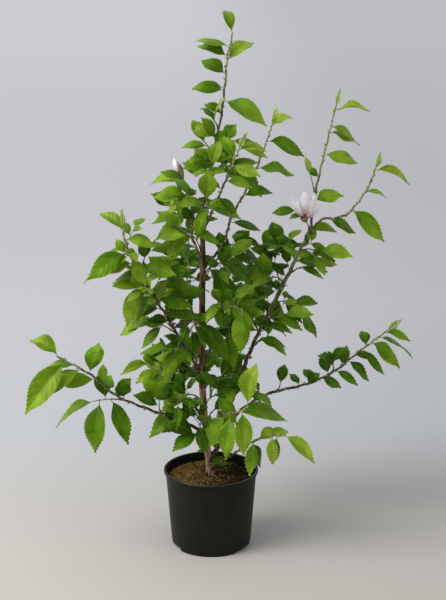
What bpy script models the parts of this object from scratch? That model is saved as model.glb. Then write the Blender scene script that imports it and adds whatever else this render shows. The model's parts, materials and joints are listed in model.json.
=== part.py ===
"""Potted saucer magnolia: a young garden shrub in a round nursery pot.

The trunk runs up through the crown, the boughs leave it one by one, and each
mass of foliage is a stem with side twigs whose leaves are fused on. Metres,
+Z up, the front of the plant towards -Y, the origin under the pot's middle.
"""

import math
import random
from collections import namedtuple

import bmesh
import bpy
from mathutils import Quaternion, Vector
from mathutils.bvhtree import BVHTree

# Pot and soil
POT_HEIGHT = 0.192
POT_RIM_RADIUS = 0.115
POT_FOOT_RADIUS = 0.096
POT_WALL = 0.0018
POT_FLOOR = 0.0025
RIM_DEPTH = 0.007
RIM_WIDTH = 0.0042
POT_STEPS = 40
NOTCH_HEIGHT = 0.009
NOTCH_INNER_RADIUS = 0.086
NOTCH_ARC = math.radians(38.0)
NOTCH_BEARINGS = (-33.0, -157.0, 83.0)
SOIL_TOP = 0.175
SOIL_EDGE_DIP = 0.004
SOIL_FLAT_RADIUS = 0.030

# Touching pieces stay this far apart
GAP = 0.0003

# Wood
FLARE_HEIGHT = 0.020
FLARE_GAIN = 0.45
TWIG_RADIUS = 0.0015
TWIG_END_RADIUS = 0.0009
RING_SPACING = 0.045
CUT_RING_SPACING = 0.002
WAY_STEP = 0.004
LIMB_FOOT_SHARE = 0.05
SPRAY_FOOT_SHARE = 0.15
TRUNK_RESOLUTION = 2
BOUGH_RESOLUTION = 1

# Leaves
TRUNK_LEAF_LENGTH = 0.076
LEAF_WIDTH_SHARE = 0.46
LEAF_THICKNESS_SHARE = 0.018
LEAF_DROOP = 0.24
LEAF_CLEARANCE = 0.0008
LEAF_RINGS = ((0.42, 1.0, 1.0), (0.76, 0.70, 0.8))
STALK_START = 0.0026
STALK_RADIUS = 0.0009

# How leaves sit on their twig: the share of its length that they start at, how
# much a spray's own lean moves them, the share of full size that the first leaf
# has and how much the last has over it, and the depth that divides leaves that
# show their upper side to the front from those that show it to the back
LIMB_LEAF_START = 0.03
SPRAY_LEAF_START = 0.30
LAST_LEAF = 0.985
SPRAY_LEAN = 0.4
FIRST_LEAF_SIZE = 0.80
LEAF_SIZE_GAIN = 0.30
LEAF_SIZE_RANGE = (0.90, 1.14)
LEAF_LEAN_RANGE = (0.08, 0.42)
LEAF_HOUR_SPREAD = 0.2
LEAF_DROOP_RANGE = (0.4, 1.5)
BACK_DEPTH = 0.20

# How a spray leaves its limb: the share of its way up to its bend, how far it
# follows the limb at first, and how far its tip lifts
SPRAY_BEND = 0.45
SPRAY_FOLLOW = 0.5
SPRAY_LIFT = 0.10
SPRAY_FOOT_GAIN = 1.15

# What a tip can carry: the length and radius of its bud, or of the blossom's core
BUD_SIZES = {"bud": (0.052, 0.0038), "flower bud": (0.064, 0.0095), "blossom": (0.034, 0.0075)}

# Blossom
TEPAL_LENGTH = 0.066
TEPAL_WIDTH_SHARE = 0.34
TEPAL_COUNT = 6
TEPAL_LEANS = (0.18, 0.66)
TEPAL_FOOT = 0.006

SEED = 41

# The trunk leans and sways through these places, from the soil to its tip
TRUNK_PLACES = (
    (-0.0045, 0.000, SOIL_TOP + GAP),
    (-0.0045, 0.000, 0.192),
    (-0.0190, 0.000, 0.377),
    (-0.0210, 0.002, 0.500),
    (-0.0190, 0.000, 0.675),
    (-0.0160, -0.002, 0.814),
    (-0.0010, 0.000, 0.920),
    (0.0110, 0.000, 0.985),
    (0.0250, 0.000, 1.050),
)
TRUNK_RADII = (0.0078, 0.0078, 0.0080, 0.0077, 0.0070, 0.0055, 0.0042, 0.0031, 0.0024)

# A limb leaves its parent at a share of the parent's length and passes through
# its places to its tip. It is bare wood up to a share of its own length, and
# leafy beyond. Each leaf points to an hour on a clock face seen from the front,
# where 12 is up and 3 is to the right, and a whole number asks for that many
# leaves in a spiral. The leaf is their usual length, which a pair multiplies for
# its own leaf, and the ending is what the limb's tip carries.
Limb = namedtuple("Limb", "parent foot places radii bare leaf leaves ending")

LIMBS = {
    "right_main": Limb(
        "trunk", 0.045,
        ((0.025, 0.008, 0.262), (0.042, 0.019, 0.334), (0.100, 0.046, 0.489),
         (0.164, 0.069, 0.615), (0.213, 0.086, 0.714), (0.239, 0.096, 0.769)),
        (0.0056, 0.0030), 0.52, 0.072, (3.6, 9.8, 4.2, 10.6, 3.4, 9.5, 2.8), None),
    "right_tall": Limb(
        "right_main", 1.0,
        ((0.249, 0.119, 0.842), (0.263, 0.140, 0.904), (0.280, 0.160, 0.972),
         (0.299, 0.183, 1.044)),
        (0.0025, 0.0014), 0.0, 0.076, ((1.9, 1.1), (10.5, 0.6), 3.0, 3.5, 2.7), "bud"),
    "right_outer": Limb(
        "right_main", 0.97,
        ((0.262, 0.083, 0.791), (0.292, 0.067, 0.799), (0.319, 0.054, 0.810),
         (0.337, 0.041, 0.832), (0.365, 0.015, 0.882), (0.379, -0.008, 0.931)),
        (0.0024, 0.0014), 0.0, 0.080, (3.5, (3.9, 1.2), (3.1, 0.6), 3.1), "bud"),
    "left_main": Limb(
        "trunk", 0.290,
        ((-0.081, -0.045, 0.552), (-0.134, -0.085, 0.656), (-0.173, -0.117, 0.737),
         (-0.192, -0.143, 0.800), (-0.193, -0.150, 0.823)),
        (0.0042, 0.0015), 0.28, 0.084,
        (1.6, 8, 2.2, 8.6, 3, (7.3, 1.25), 9.2, 8.6, 2.8, 8.6, (4.7, 0.8), (8.1, 1.5),
         (3, 0.7), (10.3, 0.9)), "bud"),
    "upper_right": Limb(
        "trunk", 0.590,
        ((0.031, 0.036, 0.746), (0.048, 0.067, 0.799), (0.097, 0.120, 0.881),
         (0.128, 0.162, 0.951), (0.147, 0.190, 1.002)),
        (0.0034, 0.0014), 0.24, 0.086,
        (3.2, (10, 0.8), 2.7, (9.6, 0.7), 3, (10.6, 0.6), 3.3, (1.2, 0.8)), "bud"),
    "upper_middle": Limb(
        "trunk", 0.690,
        ((0.020, -0.051, 0.877), (0.035, -0.071, 0.916), (0.064, -0.115, 0.995)),
        (0.0028, 0.0014), 0.34, 0.062, (4, 10, 2.7, 9.3, 3.4, 11, 2.5), "bud"),
    "upper_left": Limb(
        "trunk", 0.610,
        ((-0.043, 0.027, 0.762), (-0.040, 0.048, 0.804), (-0.051, 0.069, 0.845),
         (-0.067, 0.090, 0.886)),
        (0.0032, 0.0018), 0.26, 0.076, (9.4, 2, 8.8, 9.9, 2.6, 8.7, 10.6, 9.3), "flower bud"),
    "middle_left": Limb(
        "trunk", 0.175,
        ((-0.058, 0.023, 0.361), (-0.088, 0.044, 0.393), (-0.123, 0.065, 0.420),
         (-0.154, 0.080, 0.432)),
        (0.0036, 0.0015), 0.34, 0.062, (8, 11.5, 9, 1, 7.6, 8.4, 11, 9), None),
    "low_left": Limb(
        "trunk", 0.130,
        ((-0.079, -0.021, 0.323), (-0.191, -0.065, 0.385), (-0.227, -0.077, 0.409),
         (-0.262, -0.090, 0.447), (-0.293, -0.103, 0.475), (-0.352, -0.129, 0.518)),
        (0.0040, 0.0015), 0.48, 0.094,
        (12, (1.6, 0.8), 12, (1.3, 0.8), 9, (12.5, 0.9), (8, 0.9), (9.2, 0.7), (7.3, 1.2),
         (10.4, 0.9)), None),
    "low_right": Limb(
        "right_main", 0.150,
        ((0.073, 0.010, 0.338), (0.138, 0.042, 0.368), (0.238, 0.066, 0.387),
         (0.304, 0.084, 0.414), (0.350, 0.096, 0.449), (0.431, 0.120, 0.505)),
        (0.0042, 0.0015), 0.42, 0.064,
        (11, 1, 10.8, 3.6, 11.4, 3.4, 12.5, 4, 2.9, 4.3, (11.8, 0.8), 4, (3.9, 1.45), 3.2),
        "bud"),
    "lowest_right": Limb(
        "trunk", 0.020,
        ((0.061, -0.046, 0.251), (0.092, -0.071, 0.284), (0.132, -0.098, 0.310),
         (0.174, -0.126, 0.325)),
        (0.0032, 0.0015), 0.54, 0.066,
        ((5.3, 1.2), 1.4, (5.0, 0.8), 2.9, 5.2, (3.9, 1.3)), None),
    "back_left": Limb(
        "trunk", 0.370,
        ((-0.060, 0.110, 0.610), (-0.105, 0.225, 0.690)),
        (0.0036, 0.0015), 0.38, 0.080, 9, "bud"),
    "back_right": Limb(
        "trunk", 0.320,
        ((0.040, 0.120, 0.550), (0.105, 0.245, 0.620)),
        (0.0038, 0.0015), 0.38, 0.080, 9, "bud"),
    "back_low": Limb(
        "trunk", 0.170,
        ((-0.030, 0.120, 0.385), (-0.050, 0.270, 0.440)),
        (0.0038, 0.0015), 0.38, 0.080, 9, None),
    "leader": Limb(
        "trunk", 1.0,
        ((0.035, -0.004, 1.137), (0.038, -0.007, 1.180), (0.051, -0.010, 1.240)),
        (0.0023, 0.0013), 0.0, 0.082,
        ((3.5, 1.45), 9.4, 10.3, 1.4, 9.9, (11.3, 0.95)), None),
    "front_low": Limb(
        "trunk", 0.140,
        ((0.018, -0.058, 0.345), (0.048, -0.104, 0.370), (0.070, -0.117, 0.381),
         (0.088, -0.123, 0.394)),
        (0.0026, 0.0014), 0.56, 0.118, (7.0, (6.1, 0.8), 3.4, (5.9, 0.8), 12.2), None),
}

# A spray is a side twig: where it leaves its limb, the hour it points to, how
# far it leans away from the viewer (-1 straight at them, 1 straight back), its
# length, its leaves, and what its tip carries
Spray = namedtuple("Spray", "at hour away length leaves ending")

SPRAYS = {
    "trunk": (
        Spray(0.118, 9.5, -0.70, 0.042, (8.4, 10.5), None),
        Spray(0.136, 10.8, -0.88, 0.058, (4.9, 1.9, 7.2, 12.6, 3.2), None),
        Spray(0.204, 8.8, 0.35, 0.075, (9.4, 7.8, 10.4, 8.6), None),
        Spray(0.150, 2.6, 0.30, 0.070, (2.4, 3.8, 1, 4.6), None),
        Spray(0.156, 9.4, 0.20, 0.065, (9, 7.4, 10.6, 8.2), None),
        Spray(0.192, 1.2, -0.60, 0.080, (12, 2.6, 5.2, 10), None),
        Spray(0.215, 9.6, -0.50, 0.080, (8.6, 11, 7.6, 10), None),
        Spray(0.250, 2.2, -0.30, 0.080, (3, 1, 4.6, 12.4), None),
        Spray(0.268, 10.4, 0.30, 0.070, (9.4, 11.6, 8, 10.4), None),
        Spray(0.340, 9.8, -0.75, 0.130, (8, 10.6, 7, 9.4, 11.4), None),
        Spray(0.392, 2.2, -0.40, 0.090, (4, 1, 2.6, 5.4, 1.6), None),
        Spray(0.430, 2.6, 0.20, 0.080, (3.2, 5.2, 1.6, 4), None),
        Spray(0.460, 2.4, -0.75, 0.150, (5.6, 2, 4, 1, 6.2), None),
        Spray(0.500, 10.2, -0.40, 0.100, (9, 7.4, 11, 8.4, 10.4), None),
        Spray(0.550, 2.0, 0.75, 0.150, 7, None),
        Spray(0.570, 2.0, -0.35, 0.080, ((5.4, 1.6), 3, 4.2, 1.2), None),
        Spray(0.628, 10.8, -0.75, 0.140, (9, 3, 7.6, 10.6, 12), None),
        Spray(0.660, 10.5, 0.80, 0.150, 7, None),
        Spray(0.716, 12.3, -0.85, 0.110, (6.2, 2.8, 9.4, 12), None),
        Spray(0.750, 9.9, 0.25, 0.060, (8.8, 10.6, 9.6, 11.6), None),
        Spray(0.800, 12.4, -0.70, 0.080, (1.6, 10.2, 3, 12.4), None),
        Spray(0.830, 2.2, 0.40, 0.060, (2.6, 12.6, 3.4, 4), None),
        Spray(0.890, 10.8, 0.10, 0.055, (9.6, 11.2, 8.6, 11.8), None),
        Spray(0.925, 2.4, -0.55, 0.042, (5.0, 12.8, 3.6), None),
        Spray(0.965, 11.0, -0.20, 0.030, (10.8, 12.9, 9.0), None),
    ),
    "right_main": (
        Spray(0.275, 2.0, -0.65, 0.070, (3, 12, 4.5, 9.6), None),
        Spray(0.480, 2.2, 0.40, 0.050, (3, 3.9, 2, 11.6), None),
        Spray(0.545, 10.4, -0.60, 0.100, (9, 11, 8, 12.5, 10, 3), None),
        Spray(0.590, 2.4, -0.30, 0.050, (3.2, 4.4, 2.4), None),
        Spray(0.630, 10.0, 0.20, 0.060, (9.6, 11.4, 8.2, 12.4), None),
        Spray(0.670, 3.0, -0.20, 0.050, (4.2, 2.4, 3.2, 5), None),
        Spray(0.720, 11.2, 0.35, 0.110, (9, 11, 9.6, 12.4, 10.6), None),
        Spray(0.760, 9.6, -0.45, 0.055, (8.6, 10.8, 12.3), None),
        Spray(0.800, 2.6, 0.25, 0.065, (3.2, 4.6, 2.7, 3.8), None),
        Spray(0.860, 10.4, -0.30, 0.055, (10.2, 8.6, 11.6), None),
        Spray(0.900, 3.2, -0.25, 0.050, (3.4, 4.8, 2.6), None),
        Spray(0.985, 11.3, -0.50, 0.031, (), "blossom"),
    ),
    "right_tall": (
        Spray(0.240, 11.6, -0.10, 0.055, (), "bud"),
    ),
    "left_main": (
        Spray(0.300, 9.6, 0.10, 0.085, (7.6, 9, 2.4, 8.0, 12.8), None),
        Spray(0.340, 2.4, -0.40, 0.060, (3.2, 1, 4.2), None),
        Spray(0.420, 1.4, 0.35, 0.070, (2, 11, 3.5), None),
        Spray(0.560, 1.6, -0.15, 0.050, (2.8, 1.2, 12), None),
        Spray(0.620, 9.0, 0.40, 0.030, (9.4, 7.9), None),
        Spray(0.690, 12.5, 0.05, 0.075, (11.8, 2.8, 2), None),
    ),
    "middle_left": (
        Spray(0.450, 1.0, 0.30, 0.050, (12, 2, 10.5), None),
        Spray(0.760, 11.7, 0.10, 0.040, (9.4, 11.3, 1), None),
    ),
    "low_left": (
        Spray(0.280, 11.5, 0.30, 0.030, (9.4, 12.4), None),
        Spray(0.520, 8.9, -0.25, 0.075, (5.2, 11.7, 6.1, 8.1), None),
    ),
    "low_right": (
        Spray(0.200, 12.4, -0.35, 0.045, (12.3, 3.4, 11.5), None),
        Spray(0.330, 12.8, 0.20, 0.030, (12.6, 3.3), None),
        Spray(0.640, 12.2, -0.20, 0.025, (11.6, 10.8, 12.8), None),
    ),
    "back_left": (
        Spray(0.460, 12.0, 0.40, 0.090, 5, None),
        Spray(0.600, 9.0, 0.30, 0.080, 4, None),
    ),
    "back_right": (
        Spray(0.460, 12.5, 0.40, 0.090, 5, None),
        Spray(0.600, 3.0, 0.30, 0.080, 4, None),
    ),
    "back_low": (
        Spray(0.460, 8.5, 0.35, 0.100, 5, None),
        Spray(0.560, 3.0, 0.35, 0.100, 5, None),
    ),
}

UP = Vector((0.0, 0.0, 1.0))
GOLDEN_ANGLE = math.radians(137.5)

# A spray that finds its way barred tries these turns, in hours
TWIG_TRIES = (0.0, 0.5, -0.5, 1.0, -1.0, 1.6, -1.6)

# A leaf that finds its place taken tries these turns, in degrees, and sizes
LEAF_TRIES = ((0, 1.0), (12, 1.0), (-12, 1.0), (25, 0.9), (-25, 0.9), (40, 0.8), (-40, 0.8),
              (0, 0.65), (60, 0.7), (-60, 0.7))

# Colours, roughness
COLOURS = {
    "bark": ((0.105, 0.062, 0.036), 0.85),
    "foliage": ((0.075, 0.190, 0.018), 0.50),
    "pot_plastic": ((0.016, 0.017, 0.016), 0.42),
    "soil": ((0.060, 0.042, 0.018), 0.95),
}


def make_materials():
    """One Principled material for each colour."""
    materials = {}
    for name, (colour, roughness) in COLOURS.items():
        material = bpy.data.materials.new(name)
        material.use_nodes = True
        shader = material.node_tree.nodes["Principled BSDF"]
        shader.inputs["Base Color"].default_value = (*colour, 1.0)
        shader.inputs["Roughness"].default_value = roughness
        shader.inputs["Metallic"].default_value = 0.0
        materials[name] = material
    return materials


def clear_scene():
    for thing in list(bpy.data.objects):
        bpy.data.objects.remove(thing, do_unlink=True)


def new_collection(name):
    collection = bpy.data.collections.new(name)
    bpy.context.scene.collection.children.link(collection)
    return collection


def new_object(name, mesh, collection):
    thing = bpy.data.objects.new(name, mesh)
    collection.objects.link(thing)
    return thing


class Way:
    """A smooth centre line through a few places, with a radius all along it."""

    def __init__(self, places, radii):
        places = [Vector(place) for place in places]
        self.points = [places[0]]
        marks = [0]
        ends = [places[0] * 2 - places[1]] + places + [places[-1] * 2 - places[-2]]
        for before, start, end, after in zip(ends, ends[1:], ends[2:], ends[3:]):
            steps = max(1, round((end - start).length / RING_SPACING))
            for step in range(1, steps + 1):
                self.points.append(spline_point(before, start, end, after, step / steps))
            marks.append(len(self.points) - 1)
        self.runs = [0.0]
        for start, end in zip(self.points, self.points[1:]):
            self.runs.append(self.runs[-1] + (end - start).length)
        self.length = self.runs[-1]
        if len(radii) == len(marks):
            self.radius_marks = [(self.runs[mark] / self.length, radius)
                                 for mark, radius in zip(marks, radii)]
        else:
            self.radius_marks = [(0.0, radii[0]), (1.0, radii[-1])]

    def place(self, share):
        """The point at a share of the length."""
        run = min(max(share, 0.0), 1.0) * self.length
        for index in range(1, len(self.runs)):
            if self.runs[index] >= run:
                break
        span = self.runs[index] - self.runs[index - 1]
        return self.points[index - 1].lerp(self.points[index], (run - self.runs[index - 1]) / span)

    def heading(self, share):
        """The way it points there."""
        reach = WAY_STEP / self.length
        return (self.place(share + reach) - self.place(share - reach)).normalized()

    def radius(self, share):
        share = min(max(share, 0.0), 1.0)
        for (low, start), (high, end) in zip(self.radius_marks, self.radius_marks[1:]):
            if share <= high:
                break
        return start + (end - start) * (share - low) / (high - low)

    def stations(self, start, end):
        """The rings along a stretch, each a point and a radius."""
        close = CUT_RING_SPACING / self.length
        inner = [run / self.length for run in self.runs
                 if start + close < run / self.length < end - close]
        return [(self.place(share), self.radius(share)) for share in (start, *inner, end)]


def spline_point(before, start, end, after, share):
    """A point of the Catmull-Rom curve between start and end."""
    return 0.5 * (start * 2 + (end - before) * share
                  + (before * 2 - start * 5 + end * 4 - after) * share ** 2
                  + (start * 3 - before - end * 3 + after) * share ** 3)


def direction(hour, away):
    """The unit vector to an hour of the clock, leaning away from the viewer."""
    turn = math.radians(30.0 * hour)
    flat = math.sqrt(max(0.0, 1.0 - away ** 2))
    return Vector((math.sin(turn) * flat, away, math.cos(turn) * flat))


def mesh_of(thing):
    """The evaluated mesh of an object, its caps welded, in world space."""
    graph = bpy.context.evaluated_depsgraph_get()
    mesh = bpy.data.meshes.new_from_object(thing.evaluated_get(graph))
    mesh.transform(thing.matrix_world)
    shape = bmesh.new()
    shape.from_mesh(mesh)
    bmesh.ops.remove_doubles(shape, verts=shape.verts, dist=1e-6)
    bmesh.ops.recalc_face_normals(shape, faces=shape.faces)
    shape.to_mesh(mesh)
    shape.free()
    return mesh


def make_triangle(collection):
    """The three-sided outline that twigs are drawn along, of radius 1."""
    curve = bpy.data.curves.new("twig_outline", "CURVE")
    curve.dimensions = "2D"
    spline = curve.splines.new("POLY")
    spline.points.add(2)
    for index, point in enumerate(spline.points):
        turn = math.tau * index / 3
        point.co = (math.cos(turn), math.sin(turn), 0.0, 1.0)
    spline.use_cyclic_u = True
    outline = new_object("twig_outline", curve, collection)
    outline.hide_render = True
    outline.display_type = "WIRE"
    return outline


def tube(name, stations, collection, outline=None, resolution=1):
    """A tapering tube through the stations, with an outline or a round bevel."""
    curve = bpy.data.curves.new(name, "CURVE")
    curve.dimensions = "3D"
    curve.use_fill_caps = True
    if outline:
        curve.bevel_mode = "OBJECT"
        curve.bevel_object = outline
    else:
        curve.bevel_depth = 1.0
        curve.bevel_resolution = resolution
    spline = curve.splines.new("POLY")
    spline.points.add(len(stations) - 1)
    for point, (place, radius) in zip(spline.points, stations):
        point.co = (*place, 1.0)
        point.radius = radius
    drawn = new_object(name + "_way", curve, collection)
    mesh = mesh_of(drawn)
    bpy.data.objects.remove(drawn, do_unlink=True)
    bpy.data.curves.remove(curve)
    mesh.name = name
    return new_object(name, mesh, collection)


# A blade is a leaf or a tepal: its root, the way it points, the way across it,
# its length, its half width, and how far its tip falls
Blade = namedtuple("Blade", "root heading across length half_width droop")

# A bud is a spindle on a twig's tip
Bud = namedtuple("Bud", "root heading length radius")


def blade_spine(blade, along):
    """A point of the blade's midrib, 0 at its root and 1 at its tip."""
    fall = UP * (blade.droop * blade.length * along * abs(along))
    return blade.root + blade.heading * (blade.length * along) - fall


def blade_shape(blade, margin=0.0):
    """A three-sided ball drawn out into a drooping blade with a keel along its upper side."""
    thickness = LEAF_THICKNESS_SHARE * blade.length
    rings = [(STALK_START / blade.length, STALK_RADIUS, 2.0 * STALK_RADIUS)]
    for along, width_share, thickness_share in LEAF_RINGS:
        rings.append((along, blade.half_width * width_share, thickness * thickness_share))
    shape = bmesh.new()
    bmesh.ops.create_uvsphere(shape, u_segments=3, v_segments=len(rings) + 1, radius=1.0)
    for vertex in shape.verts:
        polar = math.acos(max(-1.0, min(1.0, vertex.co.z)))
        ring = round(polar / math.pi * (len(rings) + 1))
        if ring == 0:
            vertex.co = blade_spine(blade, 2.0 * TWIG_RADIUS / blade.length if margin else 0.0)
            continue
        if ring > len(rings):
            vertex.co = blade_spine(blade, 1.0 + margin / blade.length)
            continue
        along, half_width, depth = rings[ring - 1]
        keel = vertex.co.y > 0.0
        sideways = 0.0 if keel else math.copysign(half_width + margin, vertex.co.x)
        upwards = -0.67 * depth - margin if keel else 0.33 * depth + margin
        tangent = (blade_spine(blade, along + 0.02) - blade_spine(blade, along - 0.02)).normalized()
        normal = tangent.cross(blade.across).normalized()
        vertex.co = blade_spine(blade, along) + blade.across * sideways + normal * upwards
    bmesh.ops.recalc_face_normals(shape, faces=shape.faces)
    return shape


def bud_shape(bud, margin=0.0):
    """A slim spindle, its foot sunk in the twig that carries it."""
    shape = bmesh.new()
    bmesh.ops.create_uvsphere(shape, u_segments=4, v_segments=4, radius=1.0)
    turn = UP.rotation_difference(bud.heading)
    for vertex in shape.verts:
        spindle = Vector((vertex.co.x * (bud.radius + margin), vertex.co.y * (bud.radius + margin),
                          (0.46 + 0.5 * vertex.co.z) * bud.length))
        vertex.co = bud.root + turn @ spindle
    return shape


def mesh_from(shape, name):
    mesh = bpy.data.meshes.new(name)
    shape.to_mesh(mesh)
    shape.free()
    return mesh


class Thicket:
    """All that has grown so far, so that what comes next stays clear of it."""

    def __init__(self):
        self.grown = []

    def add(self, shape, owner):
        """Take in a bmesh, which is freed."""
        self.grown.append((*bounds_of(shape), BVHTree.FromBMesh(shape), owner))
        shape.free()

    def add_object(self, thing, owner):
        shape = bmesh.new()
        shape.from_mesh(thing.data)
        self.add(shape, owner)

    def blocks(self, shape, own=()):
        """Whether the shape touches anything that isn't its own."""
        low, high = bounds_of(shape)
        tree = BVHTree.FromBMesh(shape)
        for other_low, other_high, other, owner in self.grown:
            if owner in own:
                continue
            apart = any(high[axis] < other_low[axis] or low[axis] > other_high[axis]
                        for axis in range(3))
            if not apart and tree.overlap(other):
                return True
        return False


def bounds_of(shape):
    low = [min(vertex.co[axis] for vertex in shape.verts) for axis in range(3)]
    high = [max(vertex.co[axis] for vertex in shape.verts) for axis in range(3)]
    return low, high


class Mass:
    """One mass of foliage: its stem, the limb that it meets, and what grows on the stem."""

    def __init__(self, stem, parent):
        self.stem = stem
        self.parent = parent
        self.twigs = []
        self.blades = []
        self.buds = []


class Plant:
    """The growth of the whole plant: ways, boughs and masses, before any solid is made."""

    def __init__(self, pot, soil, cutters):
        self.dice = random.Random(SEED)
        self.thicket = Thicket()
        self.cutters = cutters
        self.ways = {"trunk": Way(TRUNK_PLACES, TRUNK_RADII)}
        self.boughs = {}
        self.masses = {}
        self.mass_of = {}
        self.thicket.add_object(pot, "pot")
        self.thicket.add_object(soil, "soil")
        self.thicket.add(self.guard_shape(self.ways["trunk"], 0.0, 1.0), "trunk")
        shoots = []
        for name, limb in LIMBS.items():
            self.grow_limb(name, limb)
            start = max(limb.bare, LIMB_LEAF_START)
            shoots.append((name, limb, limb.leaf, start, 0.0))
        for parent, sprays in SPRAYS.items():
            leaf = TRUNK_LEAF_LENGTH if parent == "trunk" else LIMBS[parent].leaf
            for index, spray in enumerate(sprays, 1):
                name = f"{parent}_spray_{index}"
                if self.grow_spray(parent, name, spray):
                    lean = SPRAY_LEAN * spray.away
                    shoots.append((name, spray, leaf, SPRAY_LEAF_START, lean))
        for name, shoot, leaf, start, lean in shoots:
            self.grow_ending(name, shoot.ending)
        for name, shoot, leaf, start, lean in shoots:
            self.grow_leaves(name, shoot.leaves, leaf, start, lean)

    def guard_shape(self, way, start, end):
        """A stretch of a way's wood with its clearance round it."""
        rings = [(place, radius + LEAF_CLEARANCE) for place, radius in way.stations(start, end)]
        thing = tube("guard", rings, self.cutters, resolution=BOUGH_RESOLUTION)
        shape = bmesh.new()
        shape.from_mesh(thing.data)
        bpy.data.objects.remove(thing, do_unlink=True)
        return shape

    def grow_limb(self, name, limb):
        parent = self.ways[limb.parent]
        foot = parent.place(limb.foot)
        fused = limb.parent in LIMBS and limb.foot > LIMBS[limb.parent].bare
        if limb.foot == 1.0 and not fused:
            foot = foot + parent.heading(1.0) * (1.5 * GAP)
        way = Way((foot, *limb.places), limb.radii)
        self.ways[name] = way
        self.thicket.add(self.guard_shape(way, LIMB_FOOT_SHARE, 1.0), name)
        if fused:
            self.mass_of[name] = self.mass_of[limb.parent]
            self.masses[self.mass_of[name]].twigs.append((way, 0.0))
            return
        if limb.bare:
            self.boughs[name + "_bough"] = (name, limb)
        start = limb.bare + GAP / way.length if limb.bare else 0.0
        mass = Mass((way, start), None if limb.bare or limb.foot == 1.0 else limb.parent)
        self.mass_of[name] = name + "_foliage"
        self.masses[name + "_foliage"] = mass

    def grow_spray(self, parent_name, name, spray):
        """A side twig, turned if its place is taken, with a mass of its own on bare wood."""
        parent = self.ways[parent_name]
        foot = parent.place(spray.at)
        for turn in TWIG_TRIES:
            heading = direction(spray.hour + turn, spray.away)
            first = (heading + parent.heading(spray.at) * SPRAY_FOLLOW).normalized()
            bend = foot + first * (spray.length * SPRAY_BEND)
            tip = foot + heading * spray.length + UP * (SPRAY_LIFT * spray.length)
            way = Way((foot, bend, tip), (TWIG_RADIUS * SPRAY_FOOT_GAIN, TWIG_END_RADIUS))
            shape = self.guard_shape(way, SPRAY_FOOT_SHARE, 1.0)
            if not self.thicket.blocks(shape, own=(parent_name,)):
                break
            shape.free()
        else:
            return False
        self.thicket.add(shape, name)
        self.ways[name] = way
        bare = 1.0 if parent_name == "trunk" else LIMBS[parent_name].bare
        if spray.at > bare:
            self.mass_of[name] = self.mass_of[parent_name]
            self.masses[self.mass_of[name]].twigs.append((way, 0.0))
        else:
            self.mass_of[name] = name
            self.masses[name] = Mass((way, 0.0), parent_name)
        return True

    def grow_leaves(self, name, leaves, leaf, start, lean):
        """Leaves along a way from a share of its length to its tip."""
        way = self.ways[name]
        mass = self.masses[self.mass_of[name]]
        hours = leaves if isinstance(leaves, tuple) else (None,) * leaves
        first_turn = self.dice.uniform(0.0, math.tau)
        side = self.dice.choice((-1, 1))
        for index, hour in enumerate(hours):
            onwards = (index + 1) / len(hours)
            share = start + (LAST_LEAF - start) * onwards
            growth = FIRST_LEAF_SIZE + LEAF_SIZE_GAIN * onwards
            length = leaf * growth * self.dice.uniform(*LEAF_SIZE_RANGE)
            if isinstance(hour, tuple):
                length *= hour[1]
                hour = hour[0]
            away = lean + side * self.dice.uniform(*LEAF_LEAN_RANGE)
            side = -side
            if hour is None:
                heading = self.spiral_heading(way, share, first_turn + index * GOLDEN_ANGLE)
            else:
                spread = self.dice.uniform(-LEAF_HOUR_SPREAD, LEAF_HOUR_SPREAD)
                heading = direction(hour + spread, max(-0.9, min(0.9, away)))
            blade = self.fitting_blade(way.place(share), heading, length, name)
            if blade:
                mass.blades.append(blade)

    def spiral_heading(self, way, share, turn):
        """Outwards and onwards from a twig, the next leaf a golden angle round."""
        axis = way.heading(share)
        sideways = axis.orthogonal().normalized()
        outwards = sideways * math.cos(turn) + axis.cross(sideways) * math.sin(turn)
        return (axis * 0.55 + outwards * 0.9 + UP * 0.1).normalized()

    def fitting_blade(self, root, heading, length, owner):
        """A leaf that clears all that has grown, turned or shortened if it has to be."""
        facing = -1.0 if root.y < BACK_DEPTH else 1.0
        face = Vector((self.dice.uniform(-0.3, 0.3), facing * self.dice.uniform(0.24, 0.80),
                       self.dice.uniform(0.5, 1.0)))
        droop = LEAF_DROOP * self.dice.uniform(*LEAF_DROOP_RANGE)
        for turn, size in LEAF_TRIES:
            turned = heading.copy()
            turned.rotate(Quaternion((0.0, -1.0, 0.0), math.radians(turn)))
            across = turned.cross(face).normalized()
            trial = length * size
            blade = Blade(root, turned, across, trial, 0.5 * LEAF_WIDTH_SHARE * trial, droop)
            shape = blade_shape(blade, LEAF_CLEARANCE)
            if self.thicket.blocks(shape, own=(owner,)):
                shape.free()
                continue
            self.thicket.add(shape, owner + "_leaf")
            return blade
        return None

    def grow_ending(self, name, ending):
        """A leaf bud, a flower bud or a blossom on the tip of a way."""
        if not ending:
            return
        mass = self.masses[self.mass_of[name]]
        tip = self.ways[name].place(1.0)
        length, radius = BUD_SIZES[ending]
        bud = Bud(tip, self.ways[name].heading(1.0), length, radius)
        mass.buds.append(bud)
        self.thicket.add(bud_shape(bud, LEAF_CLEARANCE), "bud")
        if ending != "blossom":
            return
        for index in range(TEPAL_COUNT):
            turn = math.tau * (index + self.dice.uniform(-0.15, 0.15)) / TEPAL_COUNT
            outwards = Vector((math.cos(turn), math.sin(turn), 0.0))
            lean = TEPAL_LEANS[index % len(TEPAL_LEANS)]
            aim = (UP + outwards * lean).normalized()
            across = aim.cross(-outwards).normalized()
            tepal_length = TEPAL_LENGTH * self.dice.uniform(0.94, 1.06)
            tepal = Blade(tip + UP * (TEPAL_FOOT * (1.5 - lean)), aim, across, tepal_length,
                          0.5 * TEPAL_WIDTH_SHARE * tepal_length, 0.0)
            mass.blades.append(tepal)
            self.thicket.add(blade_shape(tepal, LEAF_CLEARANCE), "tepal")


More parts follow.
